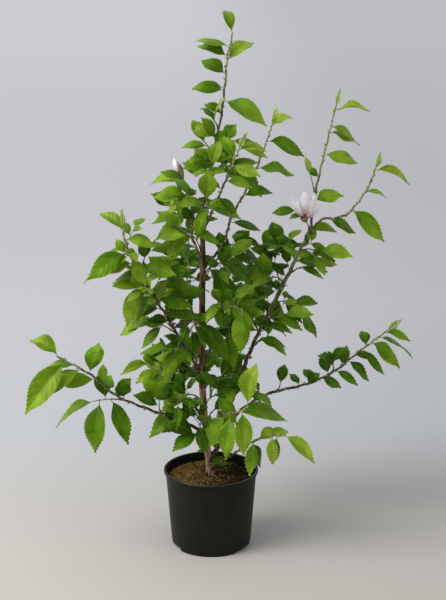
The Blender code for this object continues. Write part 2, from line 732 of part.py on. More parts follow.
def lathe(name, profile, collection):
    """A turned solid: its profile runs from the top of its outside to the bottom."""
    mesh = bpy.data.meshes.new(name)
    shape = bmesh.new()
    corners = [shape.verts.new((radius, 0.0, height)) for radius, height in profile]
    for start, end in zip(corners, corners[1:]):
        shape.edges.new((start, end))
    shape.to_mesh(mesh)
    shape.free()
    turned = new_object(name, mesh, collection)
    screw = turned.modifiers.new("turn", "SCREW")
    screw.steps = POT_STEPS
    screw.render_steps = POT_STEPS
    screw.use_merge_vertices = True
    screw.merge_threshold = 0.00005
    return turned


def wall_radius(height, inwards=0.0):
    """The radius of the pot's outside at a height, less a depth into the wall."""
    share = height / POT_HEIGHT
    body_rim = POT_RIM_RADIUS - RIM_WIDTH
    return POT_FOOT_RADIUS + (body_rim - POT_FOOT_RADIUS) * share - inwards


def make_pot(collection, cutters):
    """The pot: a tapering wall, a rolled rim, a floor and three drain notches at its foot."""
    rim_foot = POT_HEIGHT - RIM_DEPTH
    profile = (
        (wall_radius(POT_HEIGHT, POT_WALL), POT_HEIGHT - 0.001),
        (wall_radius(POT_HEIGHT, POT_WALL * 0.5), POT_HEIGHT),
        (POT_RIM_RADIUS - 0.0012, POT_HEIGHT),
        (POT_RIM_RADIUS, POT_HEIGHT - 0.0014),
        (POT_RIM_RADIUS, rim_foot + 0.001),
        (POT_RIM_RADIUS - 0.001, rim_foot),
        (wall_radius(rim_foot), rim_foot - 0.002),
        (wall_radius(0.004), 0.004),
        (wall_radius(0.0) - 0.0015, 0.0),
        (0.0, 0.0),
    )
    inside = (
        (0.0, POT_FLOOR),
        (wall_radius(POT_FLOOR, POT_WALL), POT_FLOOR),
        (wall_radius(POT_HEIGHT, POT_WALL), POT_HEIGHT - 0.001),
    )
    pot = lathe("pot", profile + inside, collection)
    for index, bearing in enumerate(NOTCH_BEARINGS, 1):
        notch = make_notch(f"notch_{index}", math.radians(bearing), cutters)
        cut = pot.modifiers.new(f"notch_{index}", "BOOLEAN")
        cut.object = notch
    return pot


def make_notch(name, bearing, cutters):
    """A block that cuts a drain notch through the pot's lower edge."""
    shape = bmesh.new()
    bmesh.ops.create_cube(shape, size=1.0)
    width = 2.0 * POT_FOOT_RADIUS * math.sin(NOTCH_ARC / 2.0)
    reach = POT_FOOT_RADIUS * 1.1 - NOTCH_INNER_RADIUS
    for vertex in shape.verts:
        vertex.co.x = NOTCH_INNER_RADIUS + (vertex.co.x + 0.5) * reach
        vertex.co.y *= width
        vertex.co.z = (vertex.co.z + 0.5) * 2.0 * NOTCH_HEIGHT - NOTCH_HEIGHT
    notch = new_object(name, mesh_from(shape, name), cutters)
    notch.rotation_euler.z = bearing
    notch.hide_render = True
    notch.display_type = "WIRE"
    return notch


def make_soil(collection):
    """The soil that fills the pot, flat in the middle and a little lower at the wall."""
    clear = POT_WALL + GAP
    edge_top = SOIL_TOP - SOIL_EDGE_DIP
    foot = POT_FLOOR + GAP
    profile = (
        (0.0, SOIL_TOP),
        (SOIL_FLAT_RADIUS, SOIL_TOP),
        (wall_radius(edge_top, clear) * 0.8, SOIL_TOP - 0.3 * SOIL_EDGE_DIP),
        (wall_radius(edge_top, clear), edge_top),
        (wall_radius(foot, clear), foot),
        (0.0, foot),
    )
    return lathe("soil", profile, collection)


def wood_rings(way, margin=0.0):
    """The rings of a whole limb, spread in a flare where it stands on the soil."""
    rings = []
    for place, radius in way.stations(0.0, 1.0):
        height = place.z - SOIL_TOP
        flare = FLARE_GAIN * max(0.0, 1.0 - height / FLARE_HEIGHT)
        rings.append((place, radius * (1.0 + flare) + margin))
    return rings


def make_sleeve(name, plant, cutters):
    """The cutter that keeps what meets a limb just clear of it."""
    resolution = TRUNK_RESOLUTION if name == "trunk" else BOUGH_RESOLUTION
    rings = wood_rings(plant.ways[name], GAP)
    sleeve = tube(name + "_sleeve", rings, cutters, resolution=resolution)
    sleeve.hide_render = True
    sleeve.display_type = "WIRE"
    return sleeve


def cut_clear(thing, sleeve):
    cut = thing.modifiers.new("foot", "BOOLEAN")
    cut.object = sleeve


def keep_largest(mesh):
    """Drop sealed hollows and loose scraps: all islands but the one with the most corners."""
    shape = bmesh.new()
    shape.from_mesh(mesh)
    waiting = set(shape.verts)
    islands = []
    while waiting:
        island = {waiting.pop()}
        front = set(island)
        while front:
            front = {edge.other_vert(vertex) for vertex in front for edge in vertex.link_edges}
            front -= island
            island |= front
        waiting -= island
        islands.append(island)
    islands.sort(key=len)
    scraps = [vertex for island in islands[:-1] for vertex in island]
    bmesh.ops.delete(shape, geom=scraps, context="VERTS")
    shape.to_mesh(mesh)
    shape.free()


def make_mass(name, mass, collection, outline):
    """One mass of foliage: stem, twigs, leaves and buds, joined into one solid."""
    way, start = mass.stem
    stem = tube(name, way.stations(start, 1.0), collection, outline=outline)
    pieces = new_collection(name + "_pieces")
    for index, (twig_way, twig_start) in enumerate(mass.twigs):
        tube(f"{name}_twig_{index}", twig_way.stations(twig_start, 1.0), pieces, outline=outline)
    for index, blade in enumerate(mass.blades):
        piece = f"{name}_blade_{index}"
        new_object(piece, mesh_from(blade_shape(blade), piece), pieces)
    for index, bud in enumerate(mass.buds):
        piece = f"{name}_bud_{index}"
        new_object(piece, mesh_from(bud_shape(bud), piece), pieces)
    join = stem.modifiers.new("join", "BOOLEAN")
    join.operation = "UNION"
    join.operand_type = "COLLECTION"
    join.collection = pieces
    joined = mesh_of(stem)
    stem.modifiers.clear()
    stem.data = joined
    for piece in list(pieces.objects):
        bpy.data.objects.remove(piece, do_unlink=True)
    bpy.data.collections.remove(pieces)
    keep_largest(joined)
    return stem


def main():
    clear_scene()
    parts = new_collection("potted_saucer_magnolia")
    cutters = new_collection("cutters")
    materials = make_materials()
    outline = make_triangle(cutters)
    pot = make_pot(parts, cutters)
    pot.data.materials.append(materials["pot_plastic"])
    soil = make_soil(parts)
    soil.data.materials.append(materials["soil"])
    plant = Plant(pot, soil, cutters)
    trunk = tube("trunk", wood_rings(plant.ways["trunk"]), parts, resolution=TRUNK_RESOLUTION)
    trunk.data.materials.append(materials["bark"])
    sleeves = {}
    for name, (way_name, limb) in plant.boughs.items():
        rings = plant.ways[way_name].stations(0.0, limb.bare)
        bough = tube(name, rings, parts, resolution=BOUGH_RESOLUTION)
        bough.data.materials.append(materials["bark"])
        if limb.parent not in sleeves:
            sleeves[limb.parent] = make_sleeve(limb.parent, plant, cutters)
        cut_clear(bough, sleeves[limb.parent])
    for name, mass in plant.masses.items():
        stem = make_mass(name, mass, parts, outline)
        stem.data.materials.append(materials["foliage"])
        if mass.parent:
            if mass.parent not in sleeves:
                sleeves[mass.parent] = make_sleeve(mass.parent, plant, cutters)
            cut_clear(stem, sleeves[mass.parent])


main()
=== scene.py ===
"""The looks of the potted saucer magnolia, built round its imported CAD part.

The growth rule of the part's source is written again here, so each twig and leaf
stands where its solid stands, and it is carried on to finer twigs, single leaves
and toothed edges. Metres, +Z up, the front of the plant towards -Y.
"""

import json
import math
import random
from collections import namedtuple

import bmesh
import bpy
import numpy as np
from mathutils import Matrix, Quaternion, Vector, noise
from mathutils.bvhtree import BVHTree

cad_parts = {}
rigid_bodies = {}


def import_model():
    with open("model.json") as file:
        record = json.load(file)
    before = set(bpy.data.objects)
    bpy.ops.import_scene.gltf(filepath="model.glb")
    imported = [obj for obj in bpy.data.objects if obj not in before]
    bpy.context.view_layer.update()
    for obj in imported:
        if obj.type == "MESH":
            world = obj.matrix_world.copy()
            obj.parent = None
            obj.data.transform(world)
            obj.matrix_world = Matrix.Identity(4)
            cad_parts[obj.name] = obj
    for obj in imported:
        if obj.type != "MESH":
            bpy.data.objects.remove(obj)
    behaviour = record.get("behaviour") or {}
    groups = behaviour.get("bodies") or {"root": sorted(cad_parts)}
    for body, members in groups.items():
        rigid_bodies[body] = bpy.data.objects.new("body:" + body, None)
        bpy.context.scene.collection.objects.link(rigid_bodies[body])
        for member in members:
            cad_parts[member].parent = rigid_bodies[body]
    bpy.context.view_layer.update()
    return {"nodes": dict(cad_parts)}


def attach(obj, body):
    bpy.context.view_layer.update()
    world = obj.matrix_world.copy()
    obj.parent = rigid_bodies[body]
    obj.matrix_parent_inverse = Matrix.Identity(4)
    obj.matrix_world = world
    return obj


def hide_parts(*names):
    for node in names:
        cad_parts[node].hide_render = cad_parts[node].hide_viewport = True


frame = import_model()

# Pot and soil, as in the CAD
POT_HEIGHT = 0.192
POT_RIM_RADIUS = 0.115
POT_FOOT_RADIUS = 0.096
POT_WALL = 0.0018
RIM_DEPTH = 0.007
RIM_WIDTH = 0.0042
NOTCH_HEIGHT = 0.009
NOTCH_INNER_RADIUS = 0.086
NOTCH_ARC = math.radians(38.0)
NOTCH_BEARINGS = (-33.0, -157.0, 83.0)
SOIL_TOP = 0.175
SOIL_EDGE_DIP = 0.004
GAP = 0.0003

# Wood, as in the CAD
FLARE_HEIGHT = 0.020
FLARE_GAIN = 0.45
TWIG_RADIUS = 0.0015
TWIG_END_RADIUS = 0.0009
RING_SPACING = 0.045
CUT_RING_SPACING = 0.002
WAY_STEP = 0.004
LIMB_FOOT_SHARE = 0.05
SPRAY_FOOT_SHARE = 0.15

# Leaves, as in the CAD
TRUNK_LEAF_LENGTH = 0.076
LEAF_WIDTH_SHARE = 0.46
LEAF_THICKNESS_SHARE = 0.018
LEAF_DROOP = 0.24
LEAF_CLEARANCE = 0.0008
LEAF_RINGS = ((0.42, 1.0, 1.0), (0.76, 0.70, 0.8))
STALK_START = 0.0026
STALK_RADIUS = 0.0009
LIMB_LEAF_START = 0.03
SPRAY_LEAF_START = 0.30
LAST_LEAF = 0.985
SPRAY_LEAN = 0.4
FIRST_LEAF_SIZE = 0.80
LEAF_SIZE_GAIN = 0.30
LEAF_SIZE_RANGE = (0.90, 1.14)
LEAF_LEAN_RANGE = (0.08, 0.42)
LEAF_HOUR_SPREAD = 0.2
LEAF_DROOP_RANGE = (0.4, 1.5)
BACK_DEPTH = 0.20
SPRAY_BEND = 0.45
SPRAY_FOLLOW = 0.5
SPRAY_LIFT = 0.10
SPRAY_FOOT_GAIN = 1.15

# Endings, as in the CAD: the length and radius of a bud, or of the blossom's core
BUD_SIZES = {"bud": (0.052, 0.0038), "flower bud": (0.064, 0.0095), "blossom": (0.034, 0.0075)}
TEPAL_LENGTH = 0.066
TEPAL_WIDTH_SHARE = 0.34
TEPAL_COUNT = 6
TEPAL_LEANS = (0.18, 0.66)
TEPAL_FOOT = 0.006

SEED = 41

# The trunk leans and sways through these places, from the soil to its tip
TRUNK_PLACES = (
    (-0.0045, 0.000, SOIL_TOP + GAP), (-0.0045, 0.000, 0.192), (-0.0190, 0.000, 0.377),
    (-0.0210, 0.002, 0.500), (-0.0190, 0.000, 0.675), (-0.0160, -0.002, 0.814),
    (-0.0010, 0.000, 0.920), (0.0110, 0.000, 0.985), (0.0250, 0.000, 1.050),
)
TRUNK_RADII = (0.0078, 0.0078, 0.0080, 0.0077, 0.0070, 0.0055, 0.0042, 0.0031, 0.0024)

# A limb leaves its parent at a share of the parent's length and passes through
# its places to its tip. It is bare wood up to a share of its own length, and
# leafy beyond. Each leaf points to an hour on a clock face seen from the front,
# where 12 is up and 3 is to the right, and a whole number asks for that many
# leaves in a spiral. The leaf is their usual length, which a pair multiplies for
# its own leaf, and the ending is what the limb's tip carries.
Limb = namedtuple("Limb", "parent foot places radii bare leaf leaves ending")

LIMBS = {
    "right_main": Limb(
        "trunk", 0.045,
        ((0.025, 0.008, 0.262), (0.042, 0.019, 0.334), (0.100, 0.046, 0.489),
         (0.164, 0.069, 0.615), (0.213, 0.086, 0.714), (0.239, 0.096, 0.769)),
        (0.0056, 0.0030), 0.52, 0.072, (3.6, 9.8, 4.2, 10.6, 3.4, 9.5, 2.8), None),
    "right_tall": Limb(
        "right_main", 1.0,
        ((0.249, 0.119, 0.842), (0.263, 0.140, 0.904), (0.280, 0.160, 0.972),
         (0.299, 0.183, 1.044)),
        (0.0025, 0.0014), 0.0, 0.076, ((1.9, 1.1), (10.5, 0.6), 3.0, 3.5, 2.7), "bud"),
    "right_outer": Limb(
        "right_main", 0.97,
        ((0.262, 0.083, 0.791), (0.292, 0.067, 0.799), (0.319, 0.054, 0.810),
         (0.337, 0.041, 0.832), (0.365, 0.015, 0.882), (0.379, -0.008, 0.931)),
        (0.0024, 0.0014), 0.0, 0.080, (3.5, (3.9, 1.2), (3.1, 0.6), 3.1), "bud"),
    "left_main": Limb(
        "trunk", 0.290,
        ((-0.081, -0.045, 0.552), (-0.134, -0.085, 0.656), (-0.173, -0.117, 0.737),
         (-0.192, -0.143, 0.800), (-0.193, -0.150, 0.823)),
        (0.0042, 0.0015), 0.28, 0.084,
        (1.6, 8, 2.2, 8.6, 3, (7.3, 1.25), 9.2, 8.6, 2.8, 8.6, (4.7, 0.8), (8.1, 1.5),
         (3, 0.7), (10.3, 0.9)), "bud"),
    "upper_right": Limb(
        "trunk", 0.590,
        ((0.031, 0.036, 0.746), (0.048, 0.067, 0.799), (0.097, 0.120, 0.881),
         (0.128, 0.162, 0.951), (0.147, 0.190, 1.002)),
        (0.0034, 0.0014), 0.24, 0.086,
        (3.2, (10, 0.8), 2.7, (9.6, 0.7), 3, (10.6, 0.6), 3.3, (1.2, 0.8)), "bud"),
    "upper_middle": Limb(
        "trunk", 0.690,
        ((0.020, -0.051, 0.877), (0.035, -0.071, 0.916), (0.064, -0.115, 0.995)),
        (0.0028, 0.0014), 0.34, 0.062, (4, 10, 2.7, 9.3, 3.4, 11, 2.5), "bud"),
    "upper_left": Limb(
        "trunk", 0.610,
        ((-0.043, 0.027, 0.762), (-0.040, 0.048, 0.804), (-0.051, 0.069, 0.845),
         (-0.067, 0.090, 0.886)),
        (0.0032, 0.0018), 0.26, 0.076, (9.4, 2, 8.8, 9.9, 2.6, 8.7, 10.6, 9.3), "flower bud"),
    "middle_left": Limb(
        "trunk", 0.175,
        ((-0.058, 0.023, 0.361), (-0.088, 0.044, 0.393), (-0.123, 0.065, 0.420),
         (-0.154, 0.080, 0.432)),
        (0.0036, 0.0015), 0.34, 0.062, (8, 11.5, 9, 1, 7.6, 8.4, 11, 9), None),
    "low_left": Limb(
        "trunk", 0.130,
        ((-0.079, -0.021, 0.323), (-0.191, -0.065, 0.385), (-0.227, -0.077, 0.409),
         (-0.262, -0.090, 0.447), (-0.293, -0.103, 0.475), (-0.352, -0.129, 0.518)),
        (0.0040, 0.0015), 0.48, 0.094,
        (12, (1.6, 0.8), 12, (1.3, 0.8), 9, (12.5, 0.9), (8, 0.9), (9.2, 0.7), (7.3, 1.2),
         (10.4, 0.9)), None),
    "low_right": Limb(
        "right_main", 0.150,
        ((0.073, 0.010, 0.338), (0.138, 0.042, 0.368), (0.238, 0.066, 0.387),
         (0.304, 0.084, 0.414), (0.350, 0.096, 0.449), (0.431, 0.120, 0.505)),
        (0.0042, 0.0015), 0.42, 0.064,
        (11, 1, 10.8, 3.6, 11.4, 3.4, 12.5, 4, 2.9, 4.3, (11.8, 0.8), 4, (3.9, 1.45), 3.2),
        "bud"),
    "lowest_right": Limb(
        "trunk", 0.020,
        ((0.061, -0.046, 0.251), (0.092, -0.071, 0.284), (0.132, -0.098, 0.310),
         (0.174, -0.126, 0.325)),
        (0.0032, 0.0015), 0.54, 0.066,
        ((5.3, 1.2), 1.4, (5.0, 0.8), 2.9, 5.2, (3.9, 1.3)), None),
    "back_left": Limb(
        "trunk", 0.370,
        ((-0.060, 0.110, 0.610), (-0.105, 0.225, 0.690)),
        (0.0036, 0.0015), 0.38, 0.080, 9, "bud"),
    "back_right": Limb(
        "trunk", 0.320,
        ((0.040, 0.120, 0.550), (0.105, 0.245, 0.620)),
        (0.0038, 0.0015), 0.38, 0.080, 9, "bud"),
    "back_low": Limb(
        "trunk", 0.170,
        ((-0.030, 0.120, 0.385), (-0.050, 0.270, 0.440)),
        (0.0038, 0.0015), 0.38, 0.080, 9, None),
    "leader": Limb(
        "trunk", 1.0,
        ((0.035, -0.004, 1.137), (0.038, -0.007, 1.180), (0.051, -0.010, 1.240)),
        (0.0023, 0.0013), 0.0, 0.082,
        ((3.5, 1.45), 9.4, 10.3, 1.4, 9.9, (11.3, 0.95)), None),
    "front_low": Limb(
        "trunk", 0.140,
        ((0.018, -0.058, 0.345), (0.048, -0.104, 0.370), (0.070, -0.117, 0.381),
         (0.088, -0.123, 0.394)),
        (0.0026, 0.0014), 0.56, 0.118, (7.0, (6.1, 0.8), 3.4, (5.9, 0.8), 12.2), None),
}

# A spray is a side twig: where it leaves its limb, the hour it points to, how
# far it leans away from the viewer (-1 straight at them, 1 straight back), its
# length, its leaves, and what its tip carries
Spray = namedtuple("Spray", "at hour away length leaves ending", defaults=(None,))

SPRAYS = {
    "trunk": (
        (0.118, 9.5, -0.70, 0.042, (8.4, 10.5)),
        (0.136, 10.8, -0.88, 0.058, (4.9, 1.9, 7.2, 12.6, 3.2)),
        (0.204, 8.8, 0.35, 0.075, (9.4, 7.8, 10.4, 8.6)),
        (0.150, 2.6, 0.30, 0.070, (2.4, 3.8, 1, 4.6)),
        (0.156, 9.4, 0.20, 0.065, (9, 7.4, 10.6, 8.2)),
        (0.192, 1.2, -0.60, 0.080, (12, 2.6, 5.2, 10)),
        (0.215, 9.6, -0.50, 0.080, (8.6, 11, 7.6, 10)),
        (0.250, 2.2, -0.30, 0.080, (3, 1, 4.6, 12.4)),
        (0.268, 10.4, 0.30, 0.070, (9.4, 11.6, 8, 10.4)),
        (0.340, 9.8, -0.75, 0.130, (8, 10.6, 7, 9.4, 11.4)),
        (0.392, 2.2, -0.40, 0.090, (4, 1, 2.6, 5.4, 1.6)),
        (0.430, 2.6, 0.20, 0.080, (3.2, 5.2, 1.6, 4)),
        (0.460, 2.4, -0.75, 0.150, (5.6, 2, 4, 1, 6.2)),
        (0.500, 10.2, -0.40, 0.100, (9, 7.4, 11, 8.4, 10.4)), (0.550, 2.0, 0.75, 0.150, 7),
        (0.570, 2.0, -0.35, 0.080, ((5.4, 1.6), 3, 4.2, 1.2)),
        (0.628, 10.8, -0.75, 0.140, (9, 3, 7.6, 10.6, 12)), (0.660, 10.5, 0.80, 0.150, 7),
        (0.716, 12.3, -0.85, 0.110, (6.2, 2.8, 9.4, 12)),
        (0.750, 9.9, 0.25, 0.060, (8.8, 10.6, 9.6, 11.6)),
        (0.800, 12.4, -0.70, 0.080, (1.6, 10.2, 3, 12.4)),
        (0.830, 2.2, 0.40, 0.060, (2.6, 12.6, 3.4, 4)),
        (0.890, 10.8, 0.10, 0.055, (9.6, 11.2, 8.6, 11.8)),
        (0.925, 2.4, -0.55, 0.042, (5.0, 12.8, 3.6)),
        (0.965, 11.0, -0.20, 0.030, (10.8, 12.9, 9.0)),
    ),
    "right_main": (
        (0.275, 2.0, -0.65, 0.070, (3, 12, 4.5, 9.6)),
        (0.480, 2.2, 0.40, 0.050, (3, 3.9, 2, 11.6)),
        (0.545, 10.4, -0.60, 0.100, (9, 11, 8, 12.5, 10, 3)),
        (0.590, 2.4, -0.30, 0.050, (3.2, 4.4, 2.4)),
        (0.630, 10.0, 0.20, 0.060, (9.6, 11.4, 8.2, 12.4)),
        (0.670, 3.0, -0.20, 0.050, (4.2, 2.4, 3.2, 5)),
        (0.720, 11.2, 0.35, 0.110, (9, 11, 9.6, 12.4, 10.6)),
        (0.760, 9.6, -0.45, 0.055, (8.6, 10.8, 12.3)),
        (0.800, 2.6, 0.25, 0.065, (3.2, 4.6, 2.7, 3.8)),
        (0.860, 10.4, -0.30, 0.055, (10.2, 8.6, 11.6)),
        (0.900, 3.2, -0.25, 0.050, (3.4, 4.8, 2.6)), (0.985, 11.3, -0.50, 0.031, (), "blossom"),
    ),
    "right_tall": (
        (0.240, 11.6, -0.10, 0.055, (), "bud"),
    ),
    "left_main": (
        (0.300, 9.6, 0.10, 0.085, (7.6, 9, 2.4, 8.0, 12.8)),
        (0.340, 2.4, -0.40, 0.060, (3.2, 1, 4.2)), (0.420, 1.4, 0.35, 0.070, (2, 11, 3.5)),
        (0.560, 1.6, -0.15, 0.050, (2.8, 1.2, 12)), (0.620, 9.0, 0.40, 0.030, (9.4, 7.9)),
        (0.690, 12.5, 0.05, 0.075, (11.8, 2.8, 2)),
    ),
    "middle_left": (
        (0.450, 1.0, 0.30, 0.050, (12, 2, 10.5)), (0.760, 11.7, 0.10, 0.040, (9.4, 11.3, 1)),
    ),
    "low_left": (
        (0.280, 11.5, 0.30, 0.030, (9.4, 12.4)),
        (0.520, 8.9, -0.25, 0.075, (5.2, 11.7, 6.1, 8.1)),
    ),
    "low_right": (
        (0.200, 12.4, -0.35, 0.045, (12.3, 3.4, 11.5)), (0.330, 12.8, 0.20, 0.030, (12.6, 3.3)),
        (0.640, 12.2, -0.20, 0.025, (11.6, 10.8, 12.8)),
    ),
    "back_left": (
        (0.460, 12.0, 0.40, 0.090, 5), (0.600, 9.0, 0.30, 0.080, 4),
    ),
    "back_right": (
        (0.460, 12.5, 0.40, 0.090, 5), (0.600, 3.0, 0.30, 0.080, 4),
    ),
    "back_low": (
        (0.460, 8.5, 0.35, 0.100, 5), (0.560, 3.0, 0.35, 0.100, 5),
    ),
}

UP = Vector((0.0, 0.0, 1.0))
FRONT = Vector((0.0, -1.0, 0.0))
GOLDEN_ANGLE = math.radians(137.5)

# A spray that finds its way barred tries these turns, in hours
TWIG_TRIES = (0.0, 0.5, -0.5, 1.0, -1.0, 1.6, -1.6)

# A leaf that finds its place taken tries these turns, in degrees, and sizes
LEAF_TRIES = ((0, 1.0), (12, 1.0), (-12, 1.0), (25, 0.9), (-25, 0.9), (40, 0.8), (-40, 0.8),
              (0, 0.65), (60, 0.7), (-60, 0.7))

# Finer twigs carry the source's rule on where the crown is dense: the shoots that
# bear them, the height that these stop at, the shares of a spray's leafy stretch
# where they stand, or their spacing on a limb and where they end, how much their
# tips rise, their lengths, and their leaves
FINE_SEED = 7
FINE_PARENTS = ("trunk_spray", "right_main", "left_main", "back_")
FINE_TOP = 0.92
FINE_SHARES = (0.42, 0.78)
FINE_GAP = 0.035
FINE_END = 0.95
FINE_LIFT = 0.15
FINE_LENGTHS = (0.022, 0.045)
FINE_RADII = (0.0008, 0.00064)
FINE_FOOT_SHARE = 0.3
FINE_LEAF_SHARES = (0.45, 0.75, 1.0)
FINE_LEAF_LENGTHS = (0.036, 0.060)

# Single leaves straight from the wood: its name, the share of its length, the hour
# they point to, their lean, their length, and their tint
SINGLE_LEAVES = (
    ("trunk", 0.052, 3.1, -0.30, 0.050, 2), ("trunk", 0.060, 2.0, 0.30, 0.030, 2),
    ("trunk", 0.075, 9.2, 0.20, 0.026, 2), ("trunk", 0.940, 11.0, -0.25, 0.070, 4),
    ("trunk", 0.915, 0.9, -0.20, 0.074, 2), ("trunk", 0.945, 9.8, 0.15, 0.066, 5),
    ("leader", 0.030, 10.3, 0.10, 0.052, 3), ("trunk", 0.865, 11.0, -0.35, 0.086, 5),
    ("trunk", 0.850, 9.8, -0.20, 0.070, 5), ("trunk", 0.880, 2.2, -0.35, 0.060, 4),
    ("lowest_right", 0.640, 6.2, -0.50, 0.066, 4), ("lowest_right", 0.860, 6.0, -0.45, 0.060, 6),
    ("leader", 0.720, 10.0, 0.10, 0.078, 2), ("leader", 0.310, 9.6, -0.15, 0.078, 3),
    ("right_tall", 0.850, 3.8, 0.20, 0.064, 6), ("low_right", 0.900, 4.1, -0.10, 0.086, 5),
    ("left_main", 0.860, 8.4, -0.42, 0.104, 3))

# Wood: the stretches of the trunk, which darkens towards its tip, and of each kind of
# shoot, with the sides of its rings and the strength of its relief
TRUNK_SIDES = 28
TRUNK_STAGES = (("trunk_bark", 0.0, 0.26), ("trunk_middle_bark", 0.26, 0.62),
                ("trunk_top_bark", 0.62, 0.88))
STAGES = {
    "bough": (("bough_bark", 0.0, 0.60, 14, 0.8), ("ripening_twigs", 0.60, 0.84, 8, 0.55),
              ("green_shoots", 0.84, 1.0, 8, 0.4)),
    "shoot": (("ripening_twigs", 0.0, 0.45, 8, 0.55), ("green_shoots", 0.45, 1.0, 8, 0.4)),
    "spray": (("bough_bark", 0.0, 0.35, 8, 0.5), ("ripening_twigs", 0.35, 0.65, 8, 0.4),
              ("green_shoots", 0.65, 1.0, 8, 0.3)),
    "fine": (("green_shoots", 0.0, 1.0, 5, 0.0),),
}
FINE_SPACING = 0.004
SHOOT_GAIN = 1.25
TRUNK_SINK = 0.002
SWAY = 0.0022
SWAY_SPACING = 0.042
SWAY_FROM = 0.1
BARK_RELIEF = 0.00042
NODE_SPACING = 0.034
NODE_SWELL = 0.00055
COLLAR_GAIN = 0.55
COLLAR_REACH = 0.009

# Buds along the shoots, and stubs on the trunk
NUB_SPACING = 0.010
LIMB_NUB_LENGTHS = (0.0042, 0.0082)
SPRAY_NUB_LENGTHS = (0.0026, 0.0054)
STUB_COUNT = 14
STUB_LENGTHS = (0.0035, 0.0065)

# Leaves: the share of the length that is stalk, the sheet's columns, teeth and veins,
# and the ranges of what differs from leaf to leaf
PETIOLE_SHARE = 0.085
LEAF_COLUMNS = (-1.0, -0.91, -0.75, -0.57, -0.38, -0.19, 0.0, 0.19, 0.38, 0.57, 0.75, 0.91, 1.0)
MARGIN = 0.90
TOOTH_SHAPE = (0.0, 0.6, 1.0)
TOOTH_SPACING = 0.0058
TOOTH_COUNTS = (7, 24)
TOOTH_DEPTH = 0.0022
VEIN_PAIRS = 7
VEIN_RELIEF = 0.0010
RIB_RADII = (0.0011, 0.0008, 0.00045, 0.00018)
RIB_STEPS = 9
LEAF_BEND = (-0.07, 0.07)
LEAF_ARCH = (0.02, 0.11)
LEAF_TWIST = (-0.35, 0.35)
LEAF_FOLD = (0.10, 0.42)
LEAF_RECURVE = (0.05, 0.35)
LEAF_WAVE = (0.0, 0.05)
WAVE_COUNTS = (0.8, 1.8)

# A limb's last leaf is young: narrower and folded, most of all on the slim shoots
WIDTH_GAIN = 0.95
SLIM_SHOOTS = ("right_tall", "leader")
SLIM_GAIN = 0.62
YOUNG_GAIN = 0.785
YOUNG_FOLD = 0.8

# Leaf tints from the most shaded to the youngest, each a plain base colour. A leaf takes its own
# tint and those beside it: darker at its foot, paler at its tip and margin, partly the leaf's own
# tone and partly painted shade and painted light.
TINTS = ((0.024, 0.078, 0.002), (0.039, 0.116, 0.003), (0.062, 0.160, 0.004),
         (0.094, 0.208, 0.006), (0.134, 0.254, 0.010), (0.174, 0.296, 0.016),
         (0.224, 0.345, 0.026), (0.286, 0.398, 0.048), (0.370, 0.475, 0.110))
TINT_LIMITS = (0.06, 0.20, 0.36, 0.54, 0.76)
BAND_LIMITS = (0.26, 0.62)
SHOOT_TONES = (-0.22, 0.22)
FINE_TONES = (-0.2, 0.2)
LEAF_TONES = (-0.24, 0.24)
PALE_SHOOTS = ("front_low", "lowest_right", "low_left_spray_2")
BRIGHT_SHOOTS = ("front_low", "lowest_right", "right_tall", "right_outer")
LEFT_TINT_CAP = 0.70
LIT_FROM = Vector((-0.56, -0.44, 0.70)).normalized()

# Furled tips, each a lean and a share of the length, the blossom, and the bud scales,
# each a bearing and a length
FURLED_LEAVES = ((0.04, 1.0), (0.04, 0.90), (0.11, 0.70))
FURLED_HALF_WIDTH = 0.0044
FURLED_FOLD = 1.1
EXTRA_HALF_WIDTH = 0.0125
CLOSED_HALF_WIDTH = 0.0056
CLOSED_SHARES = (0.70, 0.80)
SCALE_HALF_WIDTH = 0.0062
PETAL_TONES = (("flush", 0.0, 1.0), ("blush", 1.0, 2.0), ("white", 2.0, 99.0))
TEPAL_GAINS = (0.76, 1.02)
TEPAL_COLUMNS = 12
TEPAL_ROWS = 26
EXTRA_TEPALS = ((212.0, 0.66, 0.052), (336.0, 1.35, 0.042), (268.0, 0.26, 0.064))
BLOSSOM_SCALES = ((0, 0.020), (95, 0.018), (185, 0.022), (280, 0.020))
FLOWER_BUD_SCALES = ((-50, 0.042), (5, 0.050), (55, 0.038), (190, 0.016))

# The pot's lip, paler than the pot as a painted highlight, its drain notches, and the soil's
# surface
POT_STEPS = 144
LIP_RADIUS = 0.0013
TEETH_PLACES = (-0.42, -0.24, -0.08, 0.10, 0.27, 0.42)
SOIL_RINGS = 60
SOIL_SIDES = 120
SOIL_LOW = 0.120
CRUMB_COUNT = 5200
CRUMB_SIZES = (0.0008, 0.0023)
CRUMB_TONES = ("soil_crumb_dark", "soil_crumb_umber", "soil_crumb_brown")
FIBRE_COUNT = 1300
FIBRE_LENGTHS = (0.004, 0.012)
FIBRE_STEPS = 4
FIBRE_RADIUS = 0.00028

